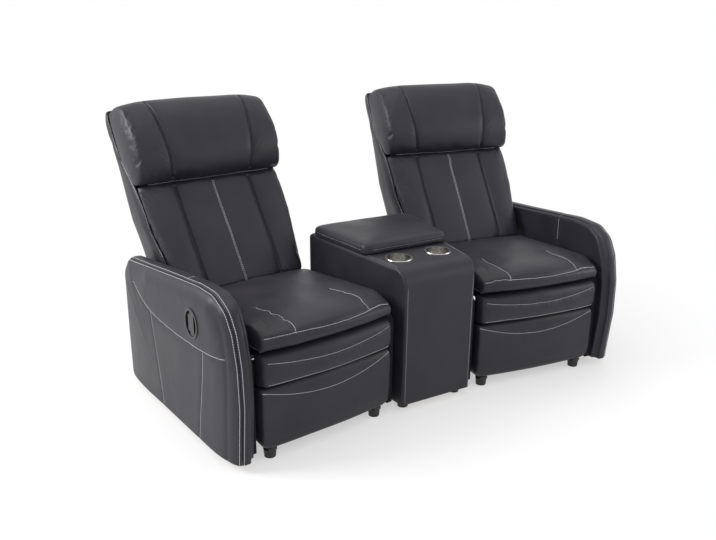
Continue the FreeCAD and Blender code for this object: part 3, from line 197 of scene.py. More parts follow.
def smooth_curve(knots, count):
    """Evenly spaced points on a curve through the knots: each span is the cubic that has, at both
    ends, the slope between the neighbouring knots, with distance along the knots as parameter."""
    k = np.asarray(knots, float)
    run = run_length(k)
    slope = np.gradient(k, run, axis=0) if len(k) > 2 else np.repeat((k[1:] - k[:1]) / run[1], 2, axis=0)
    t = np.linspace(0.0, run[-1], 24 * len(k))
    i = np.clip(np.searchsorted(run, t, side="right") - 1, 0, len(k) - 2)
    h = (run[i + 1] - run[i])[:, None]
    u = (t - run[i])[:, None] / h
    fine = ((2 * u ** 3 - 3 * u ** 2 + 1) * k[i] + (u ** 3 - 2 * u ** 2 + u) * h * slope[i]
            + (3 * u ** 2 - 2 * u ** 3) * k[i + 1] + (u ** 3 - u ** 2) * h * slope[i + 1])
    return even_curve(fine, count)


def even_curve(points, count):
    """The same line with its points an even distance apart."""
    p = np.asarray(points, float)
    run = run_length(p)
    target = np.linspace(0.0, run[-1], count)
    return np.column_stack([np.interp(target, run, p[:, axis]) for axis in range(p.shape[1])])


def grid_faces(rows, columns, wrap_rows=False, wrap_columns=False):
    """Four-sided faces between the neighbours of a grid, joined round to its start where wrapped."""
    index = np.arange(rows * columns).reshape(rows, columns)
    if wrap_rows:
        index = np.vstack([index, index[:1]])
    if wrap_columns:
        index = np.hstack([index, index[:, :1]])
    corners = (index[:-1, :-1], index[:-1, 1:], index[1:, 1:], index[1:, :-1])
    return np.stack(corners, axis=-1).reshape(-1, 4)


def across(half, rim, count, square=1.0):
    """Places across a pad from edge to edge, with the share of its thickness there: full in the
    middle and falling to nothing over the rim along a quarter round, squarer for a lower power."""
    angle = np.linspace(0.0, np.pi / 2, 9)
    edge = -(half - rim) - rim * np.cos(angle) ** square
    rise = np.sin(angle) ** square
    middle = np.linspace(-(half - rim), half - rim, count)[1:-1]
    x = np.concatenate([edge, middle, -edge[::-1]])
    return x, np.concatenate([rise, np.ones(len(middle)), rise[::-1]])


def pad_form(outer, inner, half, rim, shape=None, draw=None, count=60, square=1.0, closed=True):
    """A pad: an outer and an inner curve of its side view, matched point by point, carried across
    its width. The outer one sinks to the inner one at both edges. shape gives each point's lift
    along the pad's thickness, and draw each curve point's loss of half width."""
    x, share = across(half, rim, count, square)
    narrowing = 1.0 - (np.zeros(len(outer)) if draw is None else draw) / half
    grid_x = narrowing[:, None] * x[None, :]
    thick = outer - inner
    depth = np.linalg.norm(thick, axis=1, keepdims=True)
    lift = np.zeros_like(grid_x) if shape is None else shape(grid_x, np.linspace(0, 1, len(outer))[:, None])
    stretch = share[None, :] * (1.0 + lift / np.maximum(depth, 8.0))
    lifted = inner[:, None] + thick[:, None] * stretch[..., None]
    outside = np.concatenate([grid_x[..., None], lifted], axis=-1)
    if not closed:
        return outside.reshape(-1, 3), grid_faces(*outside.shape[:2])
    inside = np.concatenate([grid_x[..., None], np.broadcast_to(inner[:, None], lifted.shape)], axis=-1)
    grid = np.concatenate([outside, inside[::-1]])
    return grid.reshape(-1, 3), grid_faces(grid.shape[0], grid.shape[1], True)


def fresh_mesh(name, points, faces):
    """A mesh whose doubled points are merged and whose faces all look outwards."""
    mesh = bpy.data.meshes.new(name)
    mesh.from_pydata(np.asarray(points, float).tolist(), [], np.asarray(faces).tolist())
    work = bmesh.new()
    work.from_mesh(mesh)
    bmesh.ops.remove_doubles(work, verts=work.verts, dist=1e-5)
    bmesh.ops.dissolve_degenerate(work, edges=work.edges, dist=1e-6)
    bmesh.ops.recalc_face_normals(work, faces=work.faces)
    work.to_mesh(mesh)
    work.free()
    mesh.polygons.foreach_set("use_smooth", [True] * len(mesh.polygons))
    return mesh


def finished(thing):
    """The object's mesh with its modifiers worked in."""
    graph = bpy.context.evaluated_depsgraph_get()
    return bpy.data.meshes.new_from_object(thing.evaluated_get(graph))


def mesh_points(mesh):
    """The mesh's points, one row of x, y and z each."""
    flat = np.empty(len(mesh.vertices) * 3)
    mesh.vertices.foreach_get("co", flat)
    return flat.reshape(-1, 3)


STUFFING_STEPS = 20


def stuffed(name, points, faces, voxel, swell, held):
    """A cover filled with foam: its closed form is meshed evenly, then blown up as cloth from
    inside while the held places stay put, and no point moves further than the swell. Returns
    the object's points in millimetres and its four-sided faces."""
    thing = bpy.data.objects.new(name, fresh_mesh(name, np.asarray(points) * MM, faces))
    scene.collection.objects.link(thing)
    even = thing.modifiers.new("even", "REMESH")
    even.mode = "VOXEL"
    even.voxel_size = voxel * MM
    calm = thing.modifiers.new("calm", "SMOOTH")
    calm.factor = 0.5
    calm.iterations = 6
    start = finished(thing)
    thing.modifiers.clear()
    thing.data = start
    rest = mesh_points(start)
    group = thing.vertex_groups.new(name="held")
    fixed = np.nonzero(held(rest / MM))[0]
    group.add([int(i) for i in fixed], 1.0, "REPLACE")
    cloth = thing.modifiers.new("stuffing", "CLOTH")
    for setting, value in (("quality", 4), ("mass", 0.4), ("tension_stiffness", 18),
                           ("compression_stiffness", 12), ("shear_stiffness", 8),
                           ("bending_stiffness", 1.5), ("use_pressure", True),
                           ("uniform_pressure_force", 4), ("vertex_group_mass", "held")):
        setattr(cloth.settings, setting, value)
    cloth.settings.effector_weights.gravity = 0
    cloth.collision_settings.use_collision = False
    cloth.point_cache.frame_start = 1
    cloth.point_cache.frame_end = STUFFING_STEPS
    for step in range(1, STUFFING_STEPS + 1):
        scene.frame_set(step)
    blown = mesh_points(finished(thing))
    scene.frame_set(1)
    thing.modifiers.clear()
    move = blown - rest
    length = np.linalg.norm(move, axis=1, keepdims=True)
    rest = rest + move * np.minimum(1.0, swell * MM / np.maximum(length, 1e-9))
    start.vertices.foreach_set("co", rest.ravel())
    start.update()
    halved = thing.modifiers.new("halved", "SUBSURF")
    halved.levels = 1
    halved.render_levels = 1
    dense = finished(thing)
    result = mesh_points(dense) / MM
    corners = np.empty(len(dense.polygons) * 4, np.int64)
    dense.polygons.foreach_get("vertices", corners)
    bpy.data.objects.remove(thing)
    return result, corners.reshape(-1, 4)


def point_normals(points, faces):
    """Unit normals of the points: the crossed diagonals of the faces round each, added up."""
    p = points[faces]
    cross = np.cross(p[:, 2] - p[:, 0], p[:, 3] - p[:, 1])
    total = np.stack([np.bincount(faces.ravel(), np.repeat(cross[:, axis], 4), len(points))
                      for axis in range(3)], axis=-1)
    return unit(total)


SEAM_REACH = 45.0


def line_distance(points, line):
    """Each point's distance to a line of straight spans, and how far along the line that is.
    Points out of the line's reach count as far away."""
    best = np.full(len(points), 1e9)
    along = np.zeros(len(points))
    run = run_length(line)
    low, high = line.min(0) - SEAM_REACH, line.max(0) + SEAM_REACH
    near = np.nonzero(((points > low) & (points < high)).all(1))[0]
    p = points[near]
    found, place = best[near], along[near]
    for a, b, start, stop in zip(line[:-1], line[1:], run[:-1], run[1:]):
        d = b - a
        t = np.clip(((p - a) @ d) / max(d @ d, 1e-12), 0, 1)
        gap = np.linalg.norm(p - (a + t[:, None] * d), axis=1)
        closer = gap < found
        found = np.where(closer, gap, found)
        place = np.where(closer, start + t * (stop - start), place)
    best[near], along[near] = found, place
    return best, along


def eased(values):
    """A row of values averaged with its neighbours four times over, its two ends kept."""
    for _ in range(4):
        middle = (values[:-2] + 2 * values[1:-1] + values[2:]) / 4
        values = np.concatenate([values[:1], middle, values[-1:]])
    return values


def laid(tree, line):
    """The line's points dropped to the nearest points of a surface, with its normals there,
    both evened out along the line."""
    hits = [tree.find_nearest(Vector(point)) for point in line]
    return eased(np.array([hit[0] for hit in hits])), eased(np.array([hit[1] for hit in hits]))


def sewn(points, faces, seams, width=3.2, depth=4.0, pull=10.0, gather=0.0, seed=1):
    """The cover pulled in along its seams: a narrow groove of bell shape inside a wide shallow one,
    with small gathers across it that fade away from the seam."""
    tree = BVHTree.FromPolygons(points.tolist(), faces.tolist())
    normals = point_normals(points, faces)
    sink = np.zeros(len(points))
    rng = np.random.default_rng(seed)
    for seam in seams:
        line, _ = laid(tree, even_curve(seam, 60))
        gap, along = line_distance(points, line)
        groove = np.exp(-(gap / width) ** 2) + 0.45 * np.exp(-(gap / pull) ** 2)
        sink = np.maximum(sink, depth * groove)
        if gather:
            wave = sum(np.sin(along / length + phase) for length, phase in
                       zip((3.1, 4.7, 7.9), rng.uniform(0, 6.28, 3)))
            sink = sink + gather * wave / 3.0 * np.exp(-((gap - 5.0) / 9.0) ** 2)
    return points - normals * sink[:, None]


def creased(points, faces, amount, scale, seed, region=None):
    """Soft folds of used leather: a few long sine waves of random heading, added along the normal."""
    rng = np.random.default_rng(seed)
    wave = np.zeros(len(points))
    for _ in range(9):
        heading = unit(rng.normal(size=3))
        wave += np.sin(points @ heading / (scale * rng.uniform(0.5, 1.6)) + rng.uniform(0, 6.28))
    wave *= amount / 3.0
    if region is not None:
        wave = wave * region(points)
    return points + point_normals(points, faces) * wave[:, None]


def ramp(add, factor, low, high, ends=(0.0, 1.0)):
    """A tone that goes from one colour to another while the factor goes from end to end."""
    node = add("ShaderNodeValToRGB", {0: factor})
    for element, position, colour in zip(node.color_ramp.elements, ends, (low, high)):
        element.position = position
        element.color = (*colour, 1)
    return node


def leather():
    """Black corrected-grain leather: fine pebbles, faint creases and an uneven satin finish."""
    material = bpy.data.materials.new("black_leather")
    add = node_set(material)
    place = {"Vector": add("ShaderNodeTexCoord").outputs["Object"]}
    pebbles = add("ShaderNodeTexVoronoi", {**place, "Scale": 620.0, "Randomness": 1.0}, feature="SMOOTH_F1")
    pores = add("ShaderNodeTexNoise", {**place, "Scale": 1500.0, "Detail": 3.0})
    folds = add("ShaderNodeTexNoise", {**place, "Scale": 26.0, "Detail": 5.0, "Roughness": 0.55})
    cloud = add("ShaderNodeTexNoise", {**place, "Scale": 7.0, "Detail": 4.0}).outputs["Fac"]
    tone = ramp(add, cloud, (0.0140, 0.0130, 0.0180), (0.0205, 0.0190, 0.0252), (0.35, 0.70))
    gloss = add("ShaderNodeMapRange", {"Value": cloud, "From Min": 0.3, "From Max": 0.7, "To Min": 0.40,
                                       "To Max": 0.52})
    fold = add("ShaderNodeBump", {"Height": folds.outputs["Fac"], "Strength": 0.35, "Distance": 0.0025})
    grain = add("ShaderNodeBump", {"Height": pebbles.outputs["Distance"], "Normal": fold, "Strength": 0.30,
                                   "Distance": 0.0004})
    pore = add("ShaderNodeBump", {"Height": pores.outputs["Fac"], "Normal": grain, "Strength": 0.20,
                                  "Distance": 0.0002})
    shader = add("ShaderNodeBsdfPrincipled", {"Base Color": tone, "Roughness": gloss, "Normal": pore,
                                              "Specular IOR Level": 0.33, "Sheen Weight": 0.02,
                                              "Sheen Roughness": 0.4})
    add("ShaderNodeOutputMaterial", {"Surface": shader})
    return material


def thread():
    """Thick light grey polyester thread with the twist of its strands."""
    material = bpy.data.materials.new("grey_thread")
    add = node_set(material)
    place = add("ShaderNodeTexCoord").outputs["Object"]
    twist = add("ShaderNodeTexNoise", {"Vector": place, "Scale": 1800.0, "Detail": 2.0}).outputs["Fac"]
    tone = ramp(add, twist, (0.30, 0.30, 0.31), (0.52, 0.52, 0.54))
    ridge = add("ShaderNodeBump", {"Height": twist, "Strength": 0.5, "Distance": 0.0003})
    shader = add("ShaderNodeBsdfPrincipled", {"Base Color": tone, "Normal": ridge, "Roughness": 0.62,
                                              "Sheen Weight": 0.2})
    add("ShaderNodeOutputMaterial", {"Surface": shader})
    return material


BLACK_LEATHER = leather()
GREY_THREAD = thread()


def piece(name, points, faces, side, body, nodes, material=BLACK_LEATHER,
          wall=0.0):
    """A cover or its thread in its place in the row, riding on its body and standing for the named
    nodes. side is None for a piece drawn in the row itself, and wall is the skin's thickness."""
    placed = np.asarray(points, float) * MM if side is None else in_row(points, side)
    thing = bpy.data.objects.new(name, fresh_mesh(name, placed, faces))
    scene.collection.objects.link(thing)
    thing.data.materials.append(material)
    if wall:
        hide = thing.modifiers.new("hide", "SOLIDIFY")
        hide.thickness = wall * MM
        hide.offset = -1.0
    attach(thing, body)
    if nodes:
        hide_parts(*nodes)


STITCH_PITCH = 8.0
STITCH_LENGTH = 7.0
STITCH_WIDTH = 2.5
STITCH_HEIGHT = 1.8


def stitch_form():
    """One stitch: rings round a short rod, their size following a half circle at both ends."""
    angle = np.linspace(0, 2 * np.pi, 7)[:-1]
    station = np.array([-1.0, -0.86, -0.5, 0.0, 0.5, 0.86, 1.0])
    girth = np.array([0.12, 0.62, 0.95, 1.0, 0.95, 0.62, 0.12])
    along = np.broadcast_to(station[:, None], (len(station), len(angle))) * STITCH_LENGTH / 2
    wide = girth[:, None] * np.cos(angle)[None, :] * STITCH_WIDTH / 2
    high = girth[:, None] * np.sin(angle)[None, :] * STITCH_HEIGHT / 2
    points = np.stack([along, wide, high], axis=-1).reshape(-1, 3)
    return points, grid_faces(len(station), len(angle), wrap_columns=True)


def laid_row(tree, line):
    """The line laid on a surface, with the directions along it and beside it at each point."""
    path, normal = laid(tree, line)
    along = unit(np.gradient(path, axis=0))
    return path, along, np.cross(normal, along)


def stitches(name, points, faces, rows, side, body):
    """Rows of stitches on a cover. Each row is a line and a step to its side: evenly spaced places
    on the line are moved sideways, dropped to the cover, and given one stitch each, laid along
    the line and lifted a little out of the leather."""
    tree = BVHTree.FromPolygons(points.tolist(), faces.tolist())
    form, form_faces = stitch_form()
    all_points, all_faces, used = [], [], 0
    for line, step in rows:
        line = np.asarray(line, float)
        count = max(3, int(run_length(line)[-1] / STITCH_PITCH))
        path, along, beside = laid_row(tree, even_curve(line, 2 * count + 1))
        if step:
            path, along, beside = laid_row(tree, path + beside * step)
        path, along, beside = path[1::2], along[1::2], beside[1::2]
        up = np.cross(along, beside)
        made = (path[:, None] + along[:, None] * form[None, :, :1] + beside[:, None] * form[None, :, 1:2]
                + up[:, None] * (form[None, :, 2:] + STITCH_HEIGHT * 0.35))
        shift = used + np.arange(len(path))[:, None, None] * len(form)
        all_points.append(made.reshape(-1, 3))
        all_faces.append((form_faces[None] + shift).reshape(-1, 4))
        used += len(path) * len(form)
    piece(name, np.concatenate(all_points), np.concatenate(all_faces), side, body, (), GREY_THREAD)


SEAT_HALF = 276.0
SEAT_REAR = 66.0
SEAT_FRONT = -498.0
SEAT_SEAM = 155.0
SEAT_STITCH_LEVEL = 446.0
SEAT_STITCH_RISE = 20.0
SEAT_BOW = 20.0
seat_top = [(SEAT_REAR, 432.0), (20.0, 436.0), (-150.0, 452.0), (-300.0, 465.0), (-400.0, 474.0),
            (-448.0, 475.0), (-478.0, 466.0), (-496.0, 448.0), (SEAT_FRONT - 2.0, 430.0), (-494.0, 412.0),
            (-470.0, 403.0)]
seat_under = [(SEAT_REAR, 373.0), (-150.0, 385.0), (-300.0, 394.0), (-400.0, 400.0), (-466.0, 402.0)]


def seat_lift(x, along):
    """A crown across the seat, and a front that bows outwards towards the middle."""
    edge = (x / SEAT_HALF) ** 2
    return 9.0 * (1.0 - edge) - (SEAT_BOW + 9.0) * edge * np.clip((along - 0.72) / 0.1, 0, 1)


outer = smooth_curve(seat_top, 90)
inner = smooth_curve(seat_under, 90)
seat_points, seat_faces = pad_form(outer, inner, SEAT_HALF, 18.0, seat_lift, None, 70)


def seat_stitch_level(x):
    """The front thread sags towards the middle of the seat."""
    return SEAT_STITCH_LEVEL + SEAT_STITCH_RISE * (x / 250.0) ** 2


seat_x = np.linspace(-264.0, 264.0, 61)
seat_front_line = np.stack([seat_x, SEAT_FRONT + SEAT_BOW * (seat_x / SEAT_HALF) ** 2,
                            seat_stitch_level(seat_x)], axis=-1)


def seat_seam_line(x):
    """A seam from the middle of the seat to the front and down over the roll to the thread."""
    return smooth_curve([(x - 12.0, -262.0, 476.0), (x - 2.0, -330.0, 478.0), (x, -430.0, 480.0),
                         (x, -478.0, 472.0), (x, -492.0, float(seat_stitch_level(x)))], 50)


def seat_held(p):
    """Held: the underside, the rear edge, and the seams."""
    under = p[:, 2] < 400.0 + (p[:, 1] + 443.0) * -0.057
    rear = p[:, 1] > SEAT_REAR - 12.0
    seam = (np.abs(np.abs(p[:, 0]) - SEAT_SEAM) < 5.0) & (p[:, 1] < -280.0)
    thread_row = (np.abs(p[:, 2] - seat_stitch_level(p[:, 0])) < 4.0) & (p[:, 1] < -450.0)
    return under | rear | seam | thread_row


seat_points, seat_faces = stuffed("seat_form", seat_points, seat_faces, 6.8, 12.0, seat_held)
seat_seams = [seat_front_line, seat_seam_line(-SEAT_SEAM), seat_seam_line(SEAT_SEAM)]
for number, side in enumerate(SIDES):
    made = sewn(seat_points, seat_faces, seat_seams, 3.0, 2.6, 12.0, 0.5, 11 + number)
    made = creased(made, seat_faces, 0.9, 34.0, 21 + number)
    piece(side + "_seat_cover", made, seat_faces, side, "base", [side + "_seat_cushion"])
    stitches(side + "_seat_thread", made, seat_faces,
             [(seat_seams[0], 3.5), (seat_seams[1], 4.0), (seat_seams[2], 4.0)], side, "base")

# Back cushions: each is one tall pad sewn into four soft channels, with two deep plain tucks
# and a double row of light thread down the middle seam.
BACK_FACE = ((70.0, 428.0), (105.0, 480.0), (152.0, 550.0), (200.0, 620.0), (256.0, 696.0), (316.0, 785.0))
BACK_SEAM = ((130.0, 428.0), (153.0, 480.0), (191.0, 550.0), (240.0, 620.0), (284.0, 696.0), (355.0, 785.0))
BACK_TUCK = 160.0
BACK_HALF_LOW = 271.0
BACK_HALF_HIGH = 303.0


def back_half(z):
    """Half the back's width: narrow between the arms, then soon as wide as the head."""
    return np.interp(z, (430.0, 560.0, 640.0, 800.0), (BACK_HALF_LOW, 287.0, 299.0, BACK_HALF_HIGH))


def back_lift(x, along):
    """Four lobes between the tucks and the middle seam."""
    return 5.0 * np.abs(np.sin(x / BACK_TUCK * np.pi)) - 1.0


back_front = [(128.0, 417.0), (100.0, 414.0), (82.0, 418.0), (76.0, 430.0), (88.0, 455.0), (105.0, 480.0),
              (152.0, 550.0), (200.0, 620.0), (256.0, 696.0), (306.0, 768.0), (317.0, 783.0), (330.0, 790.0),
              (353.0, 789.0)]
outer = smooth_curve(back_front, 100)
inner = smooth_curve(((128.0, 422.0),) + BACK_SEAM[1:], 100) - np.array([1.0, 0.0])
back_points, back_faces = pad_form(outer, inner, BACK_HALF_HIGH, 30.0, back_lift,
                                   BACK_HALF_HIGH - back_half(outer[:, 1]), 90)


def back_line(x, low=430.0, high=783.0):
    """A line up the back's face at one place across it."""
    z = np.linspace(low, high, 30)
    return np.stack([np.full_like(z, x), depth_at(z, BACK_FACE), z], axis=-1)


def back_held(p):
    """Held: the rear against the frame, and the tucks and middle seam."""
    tuck = (np.abs(np.abs(p[:, 0]) - BACK_TUCK) < 5.0) | (np.abs(p[:, 0]) < 4.0)
    return (p[:, 1] > depth_at(p[:, 2], BACK_SEAM) - 8.0) | tuck


back_points, back_faces = stuffed("back_form", back_points, back_faces, 6.8, 10.0, back_held)
for number, side in enumerate(SIDES):
    made = sewn(back_points, back_faces, [back_line(-BACK_TUCK), back_line(BACK_TUCK)], 4.2, 10.0, 20.0)
    made = sewn(made, back_faces, [back_line(0.0)], 2.6, 2.2, 9.0)
    made = creased(made, back_faces, 0.7, 45.0, 31 + number)
    piece(side + "_back_cover", made, back_faces, side, side + "_back", [side + "_back_cushion"])
    stitches(side + "_back_thread", made, back_faces, [(back_line(0.0), 4.5), (back_line(0.0), -4.5)],
             side, side + "_back")

# Head cushions: a thick pillow hangs over the top of the back and wraps round to the side seams.
# Two tucks, wider apart at the top, divide it, and the leather is gathered at its lower edge.
HEAD_HALF = 311.0
TUCK_LOW = 167.0
TUCK_SPREAD = 36.0
head_front = [(356.0, 796.0), (334.0, 794.0), (308.0, 812.0), (298.0, 860.0), (305.0, 915.0), (325.0, 962.0),
              (352.0, 1008.0), (384.0, 1052.0), (412.0, 1076.0), (446.0, 1086.0), (486.0, 1081.0),
              (522.0, 1065.0), (548.0, 1043.0)]
head_rear = [(362.0, 796.0), (400.0, 826.0), (443.0, 857.0), (480.0, 905.0), (514.0, 957.0), (535.0, 1000.0),
             (551.0, 1042.0)]


def head_lift(x, along):
    """Fuller between the tucks, with the parts beyond them dropping towards the ends of the top."""
    beyond = np.clip((np.abs(x) - 190.0) / 120.0, 0, 1) ** 1.5 * np.clip((along - 0.45) / 0.2, 0, 1)
    return 4.0 * (1.0 - (x / HEAD_HALF) ** 2) - 20.0 * beyond


outer = smooth_curve(head_front, 90)
inner = smooth_curve(head_rear, 90)
head_points, head_faces = pad_form(outer, inner, HEAD_HALF, 14.0, head_lift, None, 80, 0.7)


def head_line(sign):
    """A tuck from the pillow's lower edge to its top, the two leaning apart upwards."""
    spine = smooth_curve(head_front[2:-3], 40)
    x = sign * np.linspace(TUCK_LOW, TUCK_LOW + TUCK_SPREAD, 40)
    return np.column_stack([x, spine])


def head_held(p):
    """Held: the rear against the frame, and the tucks."""
    tuck = np.abs(np.abs(p[:, 0]) - (TUCK_LOW + TUCK_SPREAD * (p[:, 2] - 812.0) / 260.0)) < 5.0
    return (p[:, 1] > depth_at(p[:, 2], head_rear) - 8.0) | (tuck & (p[:, 2] > 805.0))


def lower_edge(p):
    """One at the pillow's lower edge, falling away above it."""
    return np.exp(-((p[:, 2] - 800.0) / 42.0) ** 2)


chin = np.column_stack([np.linspace(-262.0, 262.0, 40), np.full(40, 331.0), np.full(40, 797.0)])
head_points, head_faces = stuffed("head_form", head_points, head_faces, 6.8, 8.0, head_held)
for number, side in enumerate(SIDES):
    made = sewn(head_points, head_faces, [head_line(-1), head_line(1)], 4.0, 8.5, 16.0)
    made = creased(made, head_faces, 0.8, 40.0, 41 + number)
    made = creased(made, head_faces, 0.9, 9.0, 45 + number, lower_edge)
    piece(side + "_head_cover", made, head_faces, side, side + "_back", [side + "_headrest"])
    stitches(side + "_head_thread", made, head_faces, [(chin, 0.0)], side, side + "_back")

# Outer backs: leather over a thin foam skin covers the sides and the rear in one wrap.
# A thread runs up each side where it meets the cushion, and the skin creases near the head.
shell_rear = [(394.0, 412.0), (402.0, 493.0), (432.0, 570.0), (465.0, 653.0), (495.0, 735.0),
              (526.0, 821.0), (549.0, 880.0), (570.0, 932.0), (592.0, 975.0), (605.0, 1003.0),
              (606.0, 1020.0), (596.0, 1034.0), (576.0, 1042.0), (556.0, 1044.0)]
shell_seam = [(138.0, 414.0), (153.0, 480.0), (191.0, 550.0), (240.0, 620.0), (284.0, 696.0),
              (355.0, 785.0), (400.0, 824.0), (443.0, 857.0), (480.0, 907.0), (514.0, 957.0),
              (536.0, 1000.0), (553.0, 1041.0)]
SHELL_HALF = 312.0


def shell_half(z):
    """Half the outer back's width at a height."""
    return np.interp(z, (430.0, 560.0, 640.0, 800.0, 1100.0), (273.0, 289.0, 301.0, 306.0, 312.0))


shell_apron = np.linspace((386.0, 332.0), (393.6, 411.0), 8)
outer = np.concatenate([shell_apron, smooth_curve(shell_rear, 112)])
inner = np.concatenate([shell_apron - np.array([9.0, 0.0]), smooth_curve(shell_seam, 112)])
narrowing = SHELL_HALF - shell_half(0.5 * (outer[:, 1] + inner[:, 1]))
shell_points, shell_faces = pad_form(outer, inner, SHELL_HALF, 34.0, None, narrowing, 70, 0.55, False)
side_seam = ((556, 1042), (516, 959), (443, 855), (354, 783), (287, 705), (234, 609), (183, 552))


def near_head(p):
    """One near the head's side seam, none low on the back."""
    behind = p[:, 1] - depth_at(p[:, 2], shell_seam)
    return np.clip((p[:, 2] - 720.0) / 160.0, 0, 1) * np.exp(-((behind - 18.0) / 36.0) ** 2)


for number, side in enumerate(SIDES):
    made = creased(shell_points, shell_faces, 1.2, 60.0, 51 + number)
    made = creased(made, shell_faces, 3.0, 11.0, 55 + number, near_head)
    piece(side + "_back_skin", made, shell_faces, side, side + "_back", [side + "_back_shell"],
          wall=7.0)
    rows = [(smooth_curve([(sign * float(shell_half(z)), y + 5.0, z) for y, z in side_seam], 60), 0.0)
            for sign in (-1, 1)]
    stitches(side + "_back_edge_thread", made, shell_faces, rows, side, side + "_back")

# Footrests: each carries two pads on one board, a rolled upper pad and a flat lower panel
# with round lower corners. Light thread follows a bowed line on each.
PAD_HALF = 275.0
BOARD_FACE = -427.3
upper_front = [(BOARD_FACE - 2.0, 276.0), (-452.0, 276.0), (-470.0, 283.0), (-477.0, 300.0), (-478.0, 330.0),
               (-478.0, 352.0), (-472.0, 372.0), (-458.0, 385.0), (-442.0, 389.0), (BOARD_FACE - 2.0, 387.0)]
upper_back = [(BOARD_FACE, 276.0), (BOARD_FACE, 330.0), (BOARD_FACE, 387.0)]


def bowed(depth):
    """A lift that bows a pad's front out towards its middle."""
    def lift(x, along):
        return depth * (1.0 - (x / PAD_HALF) ** 2) * np.sin(np.pi * np.clip(along, 0, 1)) ** 0.5

    return lift


outer = smooth_curve(upper_front, 60)
inner = smooth_curve(upper_back, 60)
pad_points, pad_faces = pad_form(outer, inner, PAD_HALF, 24.0, bowed(20.0), None, 70)


def bowed_line(level, sag, front, bow, reach=262.0):
    """A line across a pad that sags towards the middle and follows its bowed front."""
    x = np.linspace(-reach, reach, 41)
    curve = 1.0 - (x / PAD_HALF) ** 2
    return np.stack([x, front - bow * curve, level - sag * curve], axis=-1)


STITCH_LEVEL = 368.0
STITCH_SAG = 28.0
upper_stitch = bowed_line(STITCH_LEVEL, STITCH_SAG, -474.0, 20.0, 250.0)
upper_hem = bowed_line(289.0, 3.0, -472.0, 18.0, 250.0)


def pad_held(p):
    """Held: the rear against the board, and the thread's row."""
    level = STITCH_LEVEL - STITCH_SAG * (1.0 - (p[:, 0] / PAD_HALF) ** 2)
    return (p[:, 1] > BOARD_FACE - 4.0) | ((np.abs(p[:, 2] - level) < 4.0) & (p[:, 1] < -455.0))


pad_points, pad_faces = stuffed("pad_form", pad_points, pad_faces, 5.0, 7.0, pad_held)

lower_front = [(BOARD_FACE - 1.0, 43.0), (-446.0, 41.0), (-458.0, 48.0), (-466.0, 80.0), (-467.0, 160.0),
               (-468.0, 225.0), (-464.0, 252.0), (-452.0, 266.0), (-440.0, 269.0), (BOARD_FACE - 1.0, 268.0)]
lower_back = [(BOARD_FACE, 43.0), (BOARD_FACE, 160.0), (BOARD_FACE, 268.0)]
PANEL_TOP = 269.0
PANEL_BOTTOM = 41.0
PANEL_CORNER = 44.0


outer = smooth_curve(lower_front, 70)
inner = smooth_curve(lower_back, 70)
panel_points, panel_faces = pad_form(outer, inner, PAD_HALF, 14.0, bowed(11.0), None, 90)
over = np.clip(np.abs(panel_points[:, 0]) - (PAD_HALF - PANEL_CORNER), 0, PANEL_CORNER)
corner_rise = PANEL_CORNER - np.sqrt(np.maximum(PANEL_CORNER ** 2 - over ** 2, 0.0))
panel_points[:, 2] += corner_rise * (PANEL_TOP - panel_points[:, 2]) / (PANEL_TOP - PANEL_BOTTOM)
lower_stitch = bowed_line(261.0, 54.0, -466.0, 11.0, 268.0)
for number, side in enumerate(SIDES):
    made = sewn(pad_points, pad_faces, [upper_stitch], 3.0, 3.0, 12.0, 0.7, 61 + number)
    made = creased(made, pad_faces, 0.8, 22.0, 63 + number)
    piece(side + "_footrest_roll", made, pad_faces, side, side + "_footrest", [side + "_footrest_pad"])
    stitches(side + "_footrest_roll_thread", made, pad_faces, [(upper_stitch, 3.0), (upper_hem, 0.0)],
             side, side + "_footrest")
    made = sewn(panel_points, panel_faces, [lower_stitch], 3.2, 1.8, 12.0, 0.4, 65 + number)
    made = creased(made, panel_faces, 0.5, 50.0, 67 + number)
    piece(side + "_footrest_front", made, panel_faces, side, side + "_footrest", [side + "_footrest_panel"])
    stitches(side + "_footrest_front_thread", made, panel_faces, [(lower_stitch, 3.0)],
             side, side + "_footrest")

# Arms: each is a plywood box in a padded leather band, closed outside by a crowned panel.
# Two rows of thread follow the edge between them, and seams divide the panel.
UPHOLSTERY_FOOT = 30.0
ARM_OUTLINE = ((-474.0, UPHOLSTERY_FOOT), (-494.0, 240.0), (-488.0, 380.0), (-464.0, 486.0), (-424.0, 552.0),
               (-350.0, 588.0), (-250.0, 590.0), (-60.0, 570.0), (160.0, 546.0), (340.0, 527.0),
               (396.0, 460.0), (404.0, UPHOLSTERY_FOOT))
ARM_ROUNDING = (160.0, 160.0, 90.0, 90.0, 90.0, 120.0, 300.0, 300.0, 45.0, 60.0)
ARM_INNER = -302.3
ARM_OUTER = -354.0
ARM_BULGE = -386.0
ARM_MIDDLE = np.array([-35.0, UPHOLSTERY_FOOT])


def soft_corner(a, b, c, radius):
    """The corner at b rounded off: points of a curve that touches the lines to a and to c where
    an arc of the radius would."""
    to_a, to_c = np.linalg.norm(a - b), np.linalg.norm(c - b)
    u, v = (a - b) / to_a, (c - b) / to_c
    half = 0.5 * np.arccos(np.clip(u @ v, -1, 1))
    reach = min(radius / np.tan(half), 0.45 * to_a, 0.45 * to_c)
    t = np.linspace(0, 1, 9)[:, None]
    return (1 - t) ** 2 * (b + u * reach) + 2 * t * (1 - t) * b + t ** 2 * (b + v * reach)


